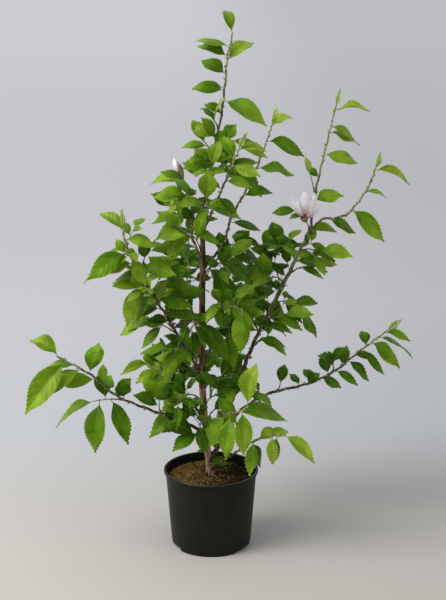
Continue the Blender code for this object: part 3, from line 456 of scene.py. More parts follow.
# Finishes of all but the leaves: two tones, the scale of their pattern, the range of
# roughness, the strength and depth of the relief, and what else a finish has
TRUNK_LOOK = (130.0, (0.62, 0.88), (0.5, 0.0012),
              dict(stretch=(1.0, 1.0, 0.22), spread=(0.38, 0.64), bump_scale=3.0, specular=0.25))
CRUMB_LOOK = (120.0, (0.85, 0.98), (0.6, 0.0010), dict(specular=0.12))
FINISHES = {
    "leaf_rib": ((0.13, 0.24, 0.025), (0.22, 0.34, 0.060), 120.0, (0.42, 0.60), (0.2, 0.0003), {}),
    "furled_leaf": ((0.46, 0.59, 0.17), (0.60, 0.70, 0.27), 70.0, (0.42, 0.60), (0.2, 0.0004),
                    dict(through=(0.25, (0.5, 0.7, 0.1)))),
    "trunk_bark": ((0.100, 0.054, 0.030), (0.560, 0.360, 0.225), *TRUNK_LOOK),
    "trunk_middle_bark": ((0.020, 0.012, 0.006), (0.260, 0.155, 0.066), *TRUNK_LOOK),
    "trunk_top_bark": ((0.009, 0.007, 0.003), (0.094, 0.066, 0.022), *TRUNK_LOOK),
    "bough_bark": ((0.026, 0.018, 0.010), (0.280, 0.215, 0.125), 190.0, (0.60, 0.85),
                   (0.5, 0.0010), dict(stretch=(1.0, 1.0, 0.5), spread=(0.44, 0.72),
                                       bump_scale=3.0, specular=0.25)),
    "ripening_bark": ((0.048, 0.048, 0.016), (0.270, 0.260, 0.110), 210.0, (0.50, 0.75),
                      (0.4, 0.0008), dict(spread=(0.42, 0.68), specular=0.3)),
    "green_shoot": ((0.066, 0.080, 0.020), (0.370, 0.430, 0.145), 170.0, (0.42, 0.62),
                    (0.3, 0.0006), dict(spread=(0.38, 0.62))),
    "shoot_bud": ((0.200, 0.190, 0.065), (0.420, 0.420, 0.170), 240.0, (0.50, 0.70),
                  (0.4, 0.0006), dict(spread=(0.34, 0.70))),
    "bud_scale": ((0.060, 0.028, 0.010), (0.400, 0.310, 0.130), 200.0, (0.60, 0.85),
                  (0.5, 0.0008), dict(stretch=(1.0, 1.0, 0.3), spread=(0.40, 0.64))),
    "tepal_flush": ((0.400, 0.135, 0.175), (0.640, 0.340, 0.385), 150.0, (0.40, 0.55),
                    (0.2, 0.0004), dict(through=(0.25, (0.75, 0.35, 0.42)))),
    "tepal_blush": ((0.780, 0.560, 0.600), (0.870, 0.730, 0.740), 150.0, (0.40, 0.55),
                    (0.2, 0.0004), dict(through=(0.25, (0.85, 0.65, 0.68)))),
    "tepal_white": ((0.930, 0.915, 0.920), (0.975, 0.965, 0.965), 120.0, (0.40, 0.55),
                    (0.2, 0.0004), dict(through=(0.25, (0.97, 0.94, 0.95)))),
    "pot_plastic": ((0.0072, 0.0075, 0.0052), (0.0122, 0.0126, 0.0090), 26.0, (0.40, 0.54),
                    (0.25, 0.0005), dict(stretch=(1.0, 1.0, 0.35), bump_scale=24.0,
                                         specular=0.14)),
    # Painted highlight: the lip ring is paler than the pot, as light along the rim.
    "pot_lip_painted_highlight": ((0.014, 0.014, 0.013), (0.040, 0.040, 0.037), 60.0, (0.26, 0.40), (0.2, 0.0003),
                dict(spread=(0.40, 0.70))),
    "soil_bed": ((0.008, 0.005, 0.002), (0.060, 0.040, 0.013), 110.0, (0.85, 0.98),
                 (0.8, 0.0020), dict(bump_scale=5.0, specular=0.12)),
    "soil_crumb_dark": ((0.007, 0.004, 0.002), (0.032, 0.020, 0.007), *CRUMB_LOOK),
    "soil_crumb_umber": ((0.024, 0.014, 0.005), (0.090, 0.056, 0.018), *CRUMB_LOOK),
    "soil_crumb_brown": ((0.115, 0.064, 0.017), (0.320, 0.198, 0.056), *CRUMB_LOOK),
    "soil_moss": ((0.090, 0.070, 0.014), (0.220, 0.175, 0.044), 100.0, (0.75, 0.92),
                  (0.4, 0.0006), dict(specular=0.12)),
}
MATERIALS = {}

# Floor tones at distances behind the pot, and the painted shade that darkens the floor towards the
# right
FLOOR_HALF = 30.0
FLOOR_DEPTHS = (-0.6, 0.30, 0.80, 2.2, 12.0)
FLOOR_TONES = ((0.558, 0.510, 0.460), (0.520, 0.500, 0.478), (0.512, 0.526, 0.556),
               (0.600, 0.594, 0.615), (0.683, 0.677, 0.702))
FLOOR_PAINTED_SHADE_SIDES = (-0.7, 1.3)
FLOOR_PAINTED_SHADE = 0.17

# Camera and sky
CAMERA_PLACE = (0.029, -3.411, 1.556)
CAMERA_PITCH = math.radians(74.6)
CAMERA_LENS = 90.0
SKY_COLOUR = (0.93, 0.96, 1.0, 1.0)
SKY_STRENGTH = 0.60


def held(value, low=0.0, high=1.0):
    """The value, held between two limits."""
    return min(max(value, low), high)


def polar(turn, radius=1.0, height=0.0):
    """The point at a turn and a radius round the upright axis."""
    return Vector((radius * math.cos(turn), radius * math.sin(turn), height))


def outwards_from(axis, turn):
    """The unit vector square to an axis, at a turn round it."""
    sideways = axis.orthogonal().normalized()
    return sideways * math.cos(turn) + axis.cross(sideways) * math.sin(turn)


def direction(hour, away):
    """The unit vector to an hour of the clock, leaning away from the viewer."""
    turn = math.radians(30.0 * hour)
    flat = math.sqrt(max(0.0, 1.0 - away ** 2))
    return Vector((math.sin(turn) * flat, away, math.cos(turn) * flat))


def spline_point(before, start, end, after, share):
    """A point of the Catmull-Rom curve between start and end."""
    return 0.5 * (start * 2 + (end - before) * share
                  + (before * 2 - start * 5 + end * 4 - after) * share ** 2
                  + (start * 3 - before - end * 3 + after) * share ** 3)


class Way:
    """A smooth centre line through a few places, with a radius all along it."""

    def __init__(self, places, radii, spacing=RING_SPACING):
        places = [Vector(place) for place in places]
        self.points = [places[0]]
        marks = [0]
        ends = [places[0] * 2 - places[1]] + places + [places[-1] * 2 - places[-2]]
        for knots in zip(ends, ends[1:], ends[2:], ends[3:]):
            steps = max(1, round((knots[2] - knots[1]).length / spacing))
            self.points += [spline_point(*knots, step / steps) for step in range(1, steps + 1)]
            marks.append(len(self.points) - 1)
        self.runs = [0.0]
        for start, end in zip(self.points, self.points[1:]):
            self.runs.append(self.runs[-1] + (end - start).length)
        self.length = self.runs[-1]
        shares = [self.runs[mark] / self.length for mark in marks]
        self.radius_marks = list(zip(shares if len(radii) == len(marks) else (0.0, 1.0), radii))

    def place(self, share):
        """The point at a share of the length."""
        run = held(share) * self.length
        for index in range(1, len(self.runs)):
            if self.runs[index] >= run:
                break
        span = self.runs[index] - self.runs[index - 1]
        return self.points[index - 1].lerp(self.points[index], (run - self.runs[index - 1]) / span)

    def heading(self, share):
        """The way it points there."""
        reach = WAY_STEP / self.length
        return (self.place(share + reach) - self.place(share - reach)).normalized()

    def radius(self, share):
        share = held(share)
        for (low, start), (high, end) in zip(self.radius_marks, self.radius_marks[1:]):
            if share <= high:
                break
        return start + (end - start) * (share - low) / (high - low)

    def shares(self, start, end, close=0.0):
        """The shares of the rings along a stretch, less those too close to its ends."""
        close /= self.length
        inner = [run / self.length for run in self.runs
                 if start + close < run / self.length < end - close]
        return start, *inner, end


def guard_shape(way, start):
    """A way's wood from a share on, with its clearance round it: a round tube on a curve."""
    curve = bpy.data.curves.new("guard", "CURVE")
    curve.dimensions = "3D"
    curve.use_fill_caps = True
    curve.bevel_depth = 1.0
    curve.bevel_resolution = 1
    spline = curve.splines.new("POLY")
    shares = way.shares(start, 1.0, CUT_RING_SPACING)
    spline.points.add(len(shares) - 1)
    for point, share in zip(spline.points, shares):
        point.co = (*way.place(share), 1.0)
        point.radius = way.radius(share) + LEAF_CLEARANCE
    drawn = bpy.data.objects.new("guard", curve)
    shape = bmesh.new()
    shape.from_mesh(drawn.to_mesh())
    bmesh.ops.remove_doubles(shape, verts=shape.verts, dist=1e-6)
    drawn.to_mesh_clear()
    bpy.data.objects.remove(drawn, do_unlink=True)
    bpy.data.curves.remove(curve)
    return shape


# A blade is a leaf or a tepal: its root, the way it points, the way across it,
# its length, its half width, and how far its tip falls
Blade = namedtuple("Blade", "root heading across length half_width droop")

# A bud is a spindle on a twig's tip
Bud = namedtuple("Bud", "root heading length radius")

# A grown leaf keeps the shoot it grew on, the share it stands at, and its tint
Leaf = namedtuple("Leaf", "blade shoot share tint")


def leaf_blade(root, heading, face, length, droop):
    """A leaf whose upper side turns to a face."""
    return Blade(root, heading, heading.cross(face).normalized(), length,
                 0.5 * LEAF_WIDTH_SHARE * length, LEAF_DROOP * droop)


def leaning_blade(root, axis, outwards, lean, length, half_width):
    """A blade that leans outwards from an axis and turns its upper side to it."""
    aim = (axis + outwards * lean).normalized()
    return Blade(root, aim, aim.cross(-outwards).normalized(), length, half_width, 0.0)


def blade_spine(blade, along):
    """A point of the blade's midrib, 0 at its root and 1 at its tip."""
    fall = UP * (blade.droop * blade.length * along * abs(along))
    return blade.root + blade.heading * (blade.length * along) - fall


def blade_guard(blade):
    """The three-sided blade of the CAD with its clearance round it."""
    thickness = LEAF_THICKNESS_SHARE * blade.length
    rings = [(STALK_START / blade.length, STALK_RADIUS, 2.0 * STALK_RADIUS)]
    for along, width_share, thickness_share in LEAF_RINGS:
        rings.append((along, blade.half_width * width_share, thickness * thickness_share))
    shape = bmesh.new()
    bmesh.ops.create_uvsphere(shape, u_segments=3, v_segments=len(rings) + 1, radius=1.0)
    for vertex in shape.verts:
        ring = round(math.acos(held(vertex.co.z, -1.0)) / math.pi * (len(rings) + 1))
        if ring == 0:
            vertex.co = blade_spine(blade, 2.0 * TWIG_RADIUS / blade.length)
            continue
        if ring > len(rings):
            vertex.co = blade_spine(blade, 1.0 + LEAF_CLEARANCE / blade.length)
            continue
        along, half_width, depth = rings[ring - 1]
        keel = vertex.co.y > 0.0
        sideways = 0.0 if keel else math.copysign(half_width + LEAF_CLEARANCE, vertex.co.x)
        upwards = -0.67 * depth - LEAF_CLEARANCE if keel else 0.33 * depth + LEAF_CLEARANCE
        tangent = blade_spine(blade, along + 0.02) - blade_spine(blade, along - 0.02)
        normal = tangent.normalized().cross(blade.across).normalized()
        vertex.co = blade_spine(blade, along) + blade.across * sideways + normal * upwards
    bmesh.ops.recalc_face_normals(shape, faces=shape.faces)
    return shape


def bud_guard(bud):
    """A bud's spindle with its clearance round it."""
    shape = bmesh.new()
    bmesh.ops.create_uvsphere(shape, u_segments=4, v_segments=4, radius=1.0)
    turn = UP.rotation_difference(bud.heading)
    radius = bud.radius + LEAF_CLEARANCE
    for vertex in shape.verts:
        spindle = Vector((vertex.co.x * radius, vertex.co.y * radius,
                          (0.46 + 0.5 * vertex.co.z) * bud.length))
        vertex.co = bud.root + turn @ spindle
    return shape


class Thicket:
    """All that has grown so far, so that what comes next stays clear of it."""

    def __init__(self):
        self.grown = []

    def take(self, shape, owner, parent=None):
        """Take in a bmesh, which is freed. One with a parent may touch nothing else."""
        low, high = [[pick(vertex.co[axis] for vertex in shape.verts) for axis in range(3)]
                     for pick in (min, max)]
        tree = BVHTree.FromBMesh(shape)
        shape.free()
        for other_low, other_high, other, other_owner in self.grown if parent else ():
            apart = any(high[axis] < other_low[axis] or low[axis] > other_high[axis]
                        for axis in range(3))
            if other_owner != parent and not apart and tree.overlap(other):
                return False
        self.grown.append((low, high, tree, owner))
        return True


class Plant:
    """The growth of the whole plant in the CAD's order, then its finer twigs."""

    def __init__(self):
        self.dice = random.Random(SEED)
        self.fine_dice = random.Random(FINE_SEED)
        self.thicket = Thicket()
        self.ways = {"trunk": Way(TRUNK_PLACES, TRUNK_RADII)}
        self.drawn = {"trunk": Way(TRUNK_PLACES, TRUNK_RADII, FINE_SPACING)}
        self.parents = {}
        self.leaves = []
        self.tepals = []
        self.endings = []
        self.thicket.take(guard_shape(self.ways["trunk"], 0.0), "trunk")
        shoots = []
        for name, limb in LIMBS.items():
            self.grow_limb(name, limb)
            shoots.append((name, limb, limb.leaf, max(limb.bare, LIMB_LEAF_START), 0.0))
        for parent, rows in SPRAYS.items():
            leaf = TRUNK_LEAF_LENGTH if parent == "trunk" else LIMBS[parent].leaf
            for index, row in enumerate(rows, 1):
                name = f"{parent}_spray_{index}"
                spray = Spray(*row)
                if self.grow_spray(parent, name, spray):
                    shoots.append((name, spray, leaf, SPRAY_LEAF_START, SPRAY_LEAN * spray.away))
        for name, shoot, *_ in shoots:
            self.grow_ending(name, shoot.ending)
        for name, shoot, *rule in shoots:
            self.grow_leaves(name, shoot.leaves, *rule)
        for name in list(self.ways):
            if name.startswith(FINE_PARENTS) and self.ways[name].place(0.0).z < FINE_TOP:
                self.grow_fine_twigs(name)
        for name, share, hour, away, size, tint in SINGLE_LEAVES:
            face = Vector([self.fine_dice.uniform(*span)
                           for span in ((-0.2, 0.2), (-0.9, -0.6), (0.5, 0.8))])
            blade = leaf_blade(self.drawn[name].place(share), direction(hour, away), face, size,
                               self.fine_dice.uniform(*LEAF_DROOP_RANGE))
            self.leaves.append(Leaf(blade, name, share, tint))

    def keep(self, name, way, parent, share, places, radii):
        """Note a way, and the finer one to draw, which starts on its parent's drawn line."""
        self.ways[name] = way
        self.parents[name] = parent
        foot = self.drawn[parent].place(share)
        self.drawn[name] = Way((foot, *places), radii, FINE_SPACING)

    def grow_limb(self, name, limb):
        parent = self.ways[limb.parent]
        foot = parent.place(limb.foot)
        fused = limb.parent in LIMBS and limb.foot > LIMBS[limb.parent].bare
        if limb.foot == 1.0 and not fused:
            foot = foot + parent.heading(1.0) * (1.5 * GAP)
        way = Way((foot, *limb.places), limb.radii)
        self.keep(name, way, limb.parent, limb.foot, limb.places, limb.radii)
        self.thicket.take(guard_shape(way, LIMB_FOOT_SHARE), name)

    def grow_twig(self, name, parent, share, places, radii, spacing, foot_share):
        """A twig, if nothing but its parent touches it."""
        way = Way((self.ways[parent].place(share), *places), radii, spacing)
        if not self.thicket.take(guard_shape(way, foot_share), name, parent):
            return None
        self.keep(name, way, parent, share, places, radii)
        return way

    def grow_spray(self, parent, name, spray):
        """A side twig, turned if its place is taken."""
        foot = self.ways[parent].place(spray.at)
        onwards = self.ways[parent].heading(spray.at) * SPRAY_FOLLOW
        radii = (TWIG_RADIUS * SPRAY_FOOT_GAIN, TWIG_END_RADIUS)
        for turn in TWIG_TRIES:
            heading = direction(spray.hour + turn, spray.away)
            bend = foot + (heading + onwards).normalized() * (spray.length * SPRAY_BEND)
            tip = foot + heading * spray.length + UP * (SPRAY_LIFT * spray.length)
            if self.grow_twig(name, parent, spray.at, (bend, tip), radii, RING_SPACING,
                              SPRAY_FOOT_SHARE):
                return True
        return False

    def grow_leaves(self, name, leaves, leaf, start, lean):
        """Leaves along a way from a share of its length to its tip."""
        way = self.ways[name]
        hours = leaves if isinstance(leaves, tuple) else (None,) * leaves
        first_turn = self.dice.uniform(0.0, math.tau)
        side = self.dice.choice((-1, 1))
        tone = self.fine_dice.uniform(*SHOOT_TONES)
        for index, hour in enumerate(hours):
            onwards = (index + 1) / len(hours)
            share = start + (LAST_LEAF - start) * onwards
            growth = FIRST_LEAF_SIZE + LEAF_SIZE_GAIN * onwards
            length = leaf * growth * self.dice.uniform(*LEAF_SIZE_RANGE)
            if isinstance(hour, tuple):
                length *= hour[1]
                hour = hour[0]
            away = lean + side * self.dice.uniform(*LEAF_LEAN_RANGE)
            side = -side
            if hour is None:
                heading = self.spiral_heading(way, share, first_turn + index * GOLDEN_ANGLE)
            else:
                spread = self.dice.uniform(-LEAF_HOUR_SPREAD, LEAF_HOUR_SPREAD)
                heading = direction(hour + spread, held(away, -0.9, 0.9))
            self.grow_leaf(name, share, heading, length, self.dice, onwards, tone)

    def spiral_heading(self, way, share, turn):
        """Outwards and onwards from a twig, the next leaf a golden angle round."""
        axis = way.heading(share)
        return (axis * 0.55 + outwards_from(axis, turn) * 0.9 + UP * 0.1).normalized()

    def grow_leaf(self, name, share, heading, length, dice, onwards, tone):
        """A leaf that clears all that has grown, turned or shortened if it has to be."""
        root = self.ways[name].place(share)
        facing = -1.0 if root.y < BACK_DEPTH else 1.0
        face = Vector((dice.uniform(-0.3, 0.3), facing * dice.uniform(0.24, 0.80),
                       dice.uniform(0.5, 1.0)))
        droop = dice.uniform(*LEAF_DROOP_RANGE)
        for turn, size in LEAF_TRIES:
            turned = heading.copy()
            turned.rotate(Quaternion(FRONT, math.radians(turn)))
            blade = leaf_blade(root, turned, face, length * size, droop)
            if self.thicket.take(blade_guard(blade), name + "_leaf", name):
                tint = self.tint_of(name, onwards, blade, tone)
                self.leaves.append(Leaf(blade, name, share, tint))
                return

    def grow_ending(self, name, ending):
        """A leaf bud, a flower bud or a blossom on the tip of a way."""
        if not ending:
            return
        bud = Bud(self.ways[name].place(1.0), self.ways[name].heading(1.0), *BUD_SIZES[ending])
        self.endings.append((ending, bud))
        self.thicket.take(bud_guard(bud), "bud")
        for index in range(TEPAL_COUNT if ending == "blossom" else 0):
            turn = math.tau * (index + self.dice.uniform(-0.15, 0.15)) / TEPAL_COUNT
            lean = TEPAL_LEANS[index % len(TEPAL_LEANS)]
            length = TEPAL_LENGTH * self.dice.uniform(0.94, 1.06)
            root = bud.root + UP * (TEPAL_FOOT * (1.5 - lean))
            tepal = leaning_blade(root, UP, polar(turn), lean, length,
                                  0.5 * TEPAL_WIDTH_SHARE * length)
            self.tepals.append(tepal)
            self.thicket.take(blade_guard(tepal), "tepal")

    def grow_fine_twigs(self, parent_name):
        """Short twigs between a shoot's leaves, each with a few small leaves."""
        dice = self.fine_dice
        parent = self.ways[parent_name]
        if parent_name in LIMBS:
            bare = LIMBS[parent_name].bare
            count = max(2, round(parent.length * (1.0 - bare) / FINE_GAP))
            shares = [bare + (FINE_END - bare) * (index + 0.5) / count for index in range(count)]
        else:
            bare = SPRAY_LEAF_START
            shares = [bare + (FINE_END - bare) * share for share in FINE_SHARES]
        for index, share in enumerate(shares, 1):
            foot = parent.place(share)
            turn = dice.uniform(0.0, math.tau)
            length = dice.uniform(*FINE_LENGTHS)
            tone = dice.uniform(*FINE_TONES)
            heading = self.spiral_heading(parent, share, turn)
            bend = foot + heading * (0.5 * length)
            tip = foot + heading * length + UP * (FINE_LIFT * length)
            name = f"{parent_name}_fine_{index}"
            way = self.grow_twig(name, parent_name, share, (bend, tip), FINE_RADII, FINE_SPACING,
                                 FINE_FOOT_SHARE)
            for step, at in enumerate(FINE_LEAF_SHARES if way else (), 1):
                turned = self.spiral_heading(way, at, turn + step * GOLDEN_ANGLE)
                size = dice.uniform(*FINE_LEAF_LENGTHS)
                self.grow_leaf(name, at, turned, size, dice, at, tone)

    def tint_of(self, name, onwards, blade, tone):
        """Leaves pale towards the ends of the limbs and the top of the crown, partly as young
        growth and partly as painted light, and darken inside the crown as painted shade.

        The weights were set against the photo."""
        tip = blade_spine(blade, 0.8)
        outer = min(1.0, abs(tip.x + 0.01) / 0.22)
        high = held((tip.z - 0.80) / 0.35)
        reach = max(outer, 0.7 * (name in PALE_SHOOTS))
        # Painted light: leaves towards the left, where the light comes from, take paler tints;
        # leaves low on the left take darker ones.
        side = held(-1.2 * tip.x, -0.22, 0.22) * (1.0 - high)
        side += 0.07 * (tip.x < -0.05) + 0.26 * (name in BRIGHT_SHOOTS)
        if tip.x < -0.02 and tip.z < 0.62:
            side -= 0.40 if tip.x < -0.2 else 0.34
        side += 0.22 * (name in LIMBS and onwards == 1.0)
        score = 0.03 + 0.34 * reach + 0.27 * onwards * max(reach, high, 0.4) + 0.58 * high
        # Painted light and shade: leaves turned towards LIT_FROM take paler tints, and leaves
        # behind and inside the crown take darker ones as painted shade.
        above = blade.across.cross(blade.heading)
        facing = max(0.0, above.normalized().dot(LIT_FROM))
        inside = held((tip.y + 0.02) / 0.14) * (1.0 - outer)
        score += 0.45 * (facing - 0.62) - 0.22 * inside
        score -= 0.30 * max(0.0, blade.heading.z - 0.35) * (1.0 - high)
        score += side + tone + self.fine_dice.uniform(*LEAF_TONES)
        if tip.x < -0.05 and high < 0.5:
            score = min(score, LEFT_TINT_CAP)
        return 1 + sum(score > limit for limit in TINT_LIMITS)


def place_object(name, data):
    thing = bpy.data.objects.new(name, data)
    bpy.context.scene.collection.objects.link(thing)
    return thing


def make_piece(name, mesh, finish, nodes=()):
    """An object of the plant or pot that rides with the whole part."""
    mesh.polygons.foreach_set("use_smooth", [True] * len(mesh.polygons))
    mesh.update()
    mesh.materials.clear()
    mesh.materials.append(MATERIALS[finish])
    thing = place_object(name, mesh)
    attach(thing, "root")
    if nodes:
        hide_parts(*nodes)
    return thing


class Heap:
    """Many small shapes gathered into one mesh."""

    def __init__(self):
        self.places = []
        self.faces = []

    def add(self, places, faces):
        """Take in corners, and faces that count from this shape's first corner."""
        first = len(self.places)
        self.places.extend(places)
        self.faces.extend(tuple(first + corner for corner in face) for face in faces)

    def add_used(self, places, faces):
        """Take in faces and only the corners that they use."""
        used = sorted({corner for face in faces for corner in face})
        renumbered = {corner: index for index, corner in enumerate(used)}
        self.add([places[corner] for corner in used],
                 [tuple(renumbered[corner] for corner in face) for face in faces])

    def build(self, name, finish, slot, nodes=()):
        """The smooth piece, in its finish, standing for its CAD nodes; the slot is not used."""
        mesh = bpy.data.meshes.new(name)
        mesh.from_pydata(self.places, [], self.faces)
        make_piece(name, mesh, finish, nodes)


def grid_face(row, column, width):
    """The corners of one face of a grid with so many corners in a row."""
    foot = row * width + column
    return foot, foot + 1, foot + width + 1, foot + width


def ring_tube(heap, places, radii, sides, relief=None, cap_start=False):
    """A round tube through the places, pointed at its end, with relief on its skin."""
    corners = []
    side = None
    last = len(places) - 1
    run = 0.0
    for index, place in enumerate(places):
        heading = (places[min(index + 1, last)] - places[max(index - 1, 0)]).normalized()
        if side is None:
            side = heading.orthogonal().normalized()
            if abs(heading.z) > 0.5:
                side = (Vector((1.0, 0.0, 0.0)) - heading * heading.x).normalized()
        side = (side - heading * side.dot(heading)).normalized()
        other = heading.cross(side)
        if index:
            run += (place - places[index - 1]).length
        for corner in range(sides):
            turn = math.tau * corner / sides
            out = side * math.cos(turn) + other * math.sin(turn)
            radius = radii[index]
            if relief:
                radius += relief(place + out * radius, run, turn)
            corners.append(place + out * radius)
    onward = [(corner + 1) % sides for corner in range(sides)]
    faces = [(ring * sides + corner, ring * sides + onward[corner],
              (ring + 1) * sides + onward[corner], (ring + 1) * sides + corner)
             for ring in range(last) for corner in range(sides)]
    heading = (places[-1] - places[-2]).normalized()
    corners.append(places[-1] + heading * (radii[-1] * 0.8))
    faces.extend((last * sides + corner, last * sides + onward[corner], len(corners) - 1)
                 for corner in range(sides))
    if cap_start:
        faces.append(tuple(reversed(range(sides))))
    heap.add(corners, faces)


def bark_relief(scale):
    """Streaks along the wood, fine grain, and a ring of swelling at each old node."""
    def relief(place, run, turn):
        streak = noise.noise(Vector((math.cos(turn) * 2.2, math.sin(turn) * 2.2, run * 38.0)))
        grain = noise.noise(place * 900.0)
        beat = (run / NODE_SPACING + 0.35 * noise.noise(Vector((run * 9.0, 0.0, 4.0)))) % 1.0
        node = math.exp(-((beat - 0.5) * NODE_SPACING / 0.0016) ** 2)
        lobe = 0.6 + 0.4 * math.cos(turn - 2.4 * math.floor(run / NODE_SPACING + 0.5))
        return scale * (BARK_RELIEF * (streak + 0.45 * grain) + NODE_SWELL * node * lobe)
    return relief if scale else None


def way_rings(drawn, start, end, parent_radius, flare=False, sway=0.0):
    """Places and radii along a stretch of a drawn way, with a collar at its foot."""
    places = []
    radii = []
    for share in drawn.shares(start, end):
        place = drawn.place(share)
        radius = drawn.radius(share)
        run = share * drawn.length
        if parent_radius:
            beyond = max(0.0, run - parent_radius)
            radius *= 1.0 + COLLAR_GAIN * math.exp(-beyond / COLLAR_REACH)
        if sway:
            beat = 2.0 * abs((run / SWAY_SPACING) % 1.0 - 0.5) - 0.5
            place = place + drawn.heading(share).cross(FRONT).normalized() * (sway * beat)
        if flare:
            height = place.z - SOIL_TOP
            radius *= 1.0 + FLARE_GAIN * max(0.0, 1.0 - height / FLARE_HEIGHT)
        places.append(place)
        radii.append(radius)
    return places, radii


def draw_wood(plant, wood_nodes):
    """Trunk, boughs and shoots with the bark's relief, a piece for each age of wood."""
    trunk = plant.drawn["trunk"]
    for piece, start, end in TRUNK_STAGES:
        heap = Heap()
        places, radii = way_rings(trunk, start, end, 0.0, flare=True)
        places[0] = places[0] - UP * TRUNK_SINK
        ring_tube(heap, places, radii, TRUNK_SIDES, bark_relief(1.0), cap_start=True)
        heap.build(piece, piece, "bark", ["trunk"])
    heaps = {name: Heap() for name in ("bough_bark", "ripening_twigs", "green_shoots")}
    ring_tube(heaps["ripening_twigs"], *way_rings(trunk, TRUNK_STAGES[-1][2], 1.0, 0.0),
              TRUNK_SIDES, bark_relief(0.6))
    for name, parent in plant.parents.items():
        drawn = plant.drawn[name]
        limb = LIMBS.get(name)
        kind = "fine" if "_fine_" in name else "spray"
        if limb:
            kind = "bough" if limb.bare else "shoot"
        parent_radius = plant.drawn[parent].radius(limb.foot if limb else 0.5)
        if limb and limb.foot == 1.0:
            parent_radius = 0.0
        sway = SWAY if limb and drawn.length > SWAY_FROM else 0.0
        for heap, start, end, sides, scale in STAGES[kind]:
            places, radii = way_rings(drawn, start, end, parent_radius, sway=sway)
            if limb and heap != "bough_bark":
                radii = [radius * SHOOT_GAIN for radius in radii]
            ring_tube(heaps[heap], places, radii, sides, bark_relief(scale))
    heaps["bough_bark"].build("bough_bark", "bough_bark", "bark", wood_nodes)
    heaps["ripening_twigs"].build("ripening_twigs", "ripening_bark", "bark")
    heaps["green_shoots"].build("green_shoots", "green_shoot", "foliage")


def draw_nubs(plant):
    """Small buds in the leaf axils and along the shoots, and stubs on the trunk."""
    dice = random.Random(SEED + 3)
    buds = Heap()
    for name in plant.parents:
        if "_fine_" in name:
            continue
        drawn = plant.drawn[name]
        start = 0.45 * LIMBS[name].bare if name in LIMBS else 0.0
        lengths = LIMB_NUB_LENGTHS if name in LIMBS else SPRAY_NUB_LENGTHS
        count = max(1, round(drawn.length * (1.0 - start) / NUB_SPACING))
        turn = dice.uniform(0.0, math.tau)
        for index in range(count):
            share = start + (0.98 - start) * (index + dice.uniform(0.2, 0.8)) / count
            turn += GOLDEN_ANGLE + dice.uniform(-0.4, 0.4)
            draw_nub(buds, drawn, share, turn, dice.uniform(*lengths))
    buds.build("shoot_buds", "shoot_bud", "foliage")
    stubs = Heap()
    for index in range(STUB_COUNT):
        share = 0.06 + 0.84 * (index + dice.uniform(0.1, 0.9)) / STUB_COUNT
        draw_nub(stubs, plant.drawn["trunk"], share, dice.uniform(0.0, math.tau),
                 dice.uniform(*STUB_LENGTHS))
    stubs.build("trunk_stubs", "bough_bark", "bark")


def draw_nub(heap, drawn, share, turn, length):
    """A pointed bud that leans on along its shoot."""
    axis = drawn.heading(share)
    out = outwards_from(axis, turn)
    root = drawn.place(share) + out * (0.55 * drawn.radius(share))
    aim = (out * 0.75 + axis * 0.65).normalized()
    ring_tube(heap, [root + aim * (length * at) for at in (0.0, 0.25, 0.55, 0.85)],
              [length * width for width in (0.30, 0.36, 0.28, 0.12)], 6)


def leaf_width(along):
    """The share of the half width: a wedge at the base, widest in the middle, a drawn-out tip."""
    along = held(along)
    tip = 1.0 - 0.34 * max(0.0, (along - 0.72) / 0.28) ** 1.3
    return tip * math.sin(math.pi * along ** 0.96) ** (1.18 - 0.42 * math.sin(math.pi * along))


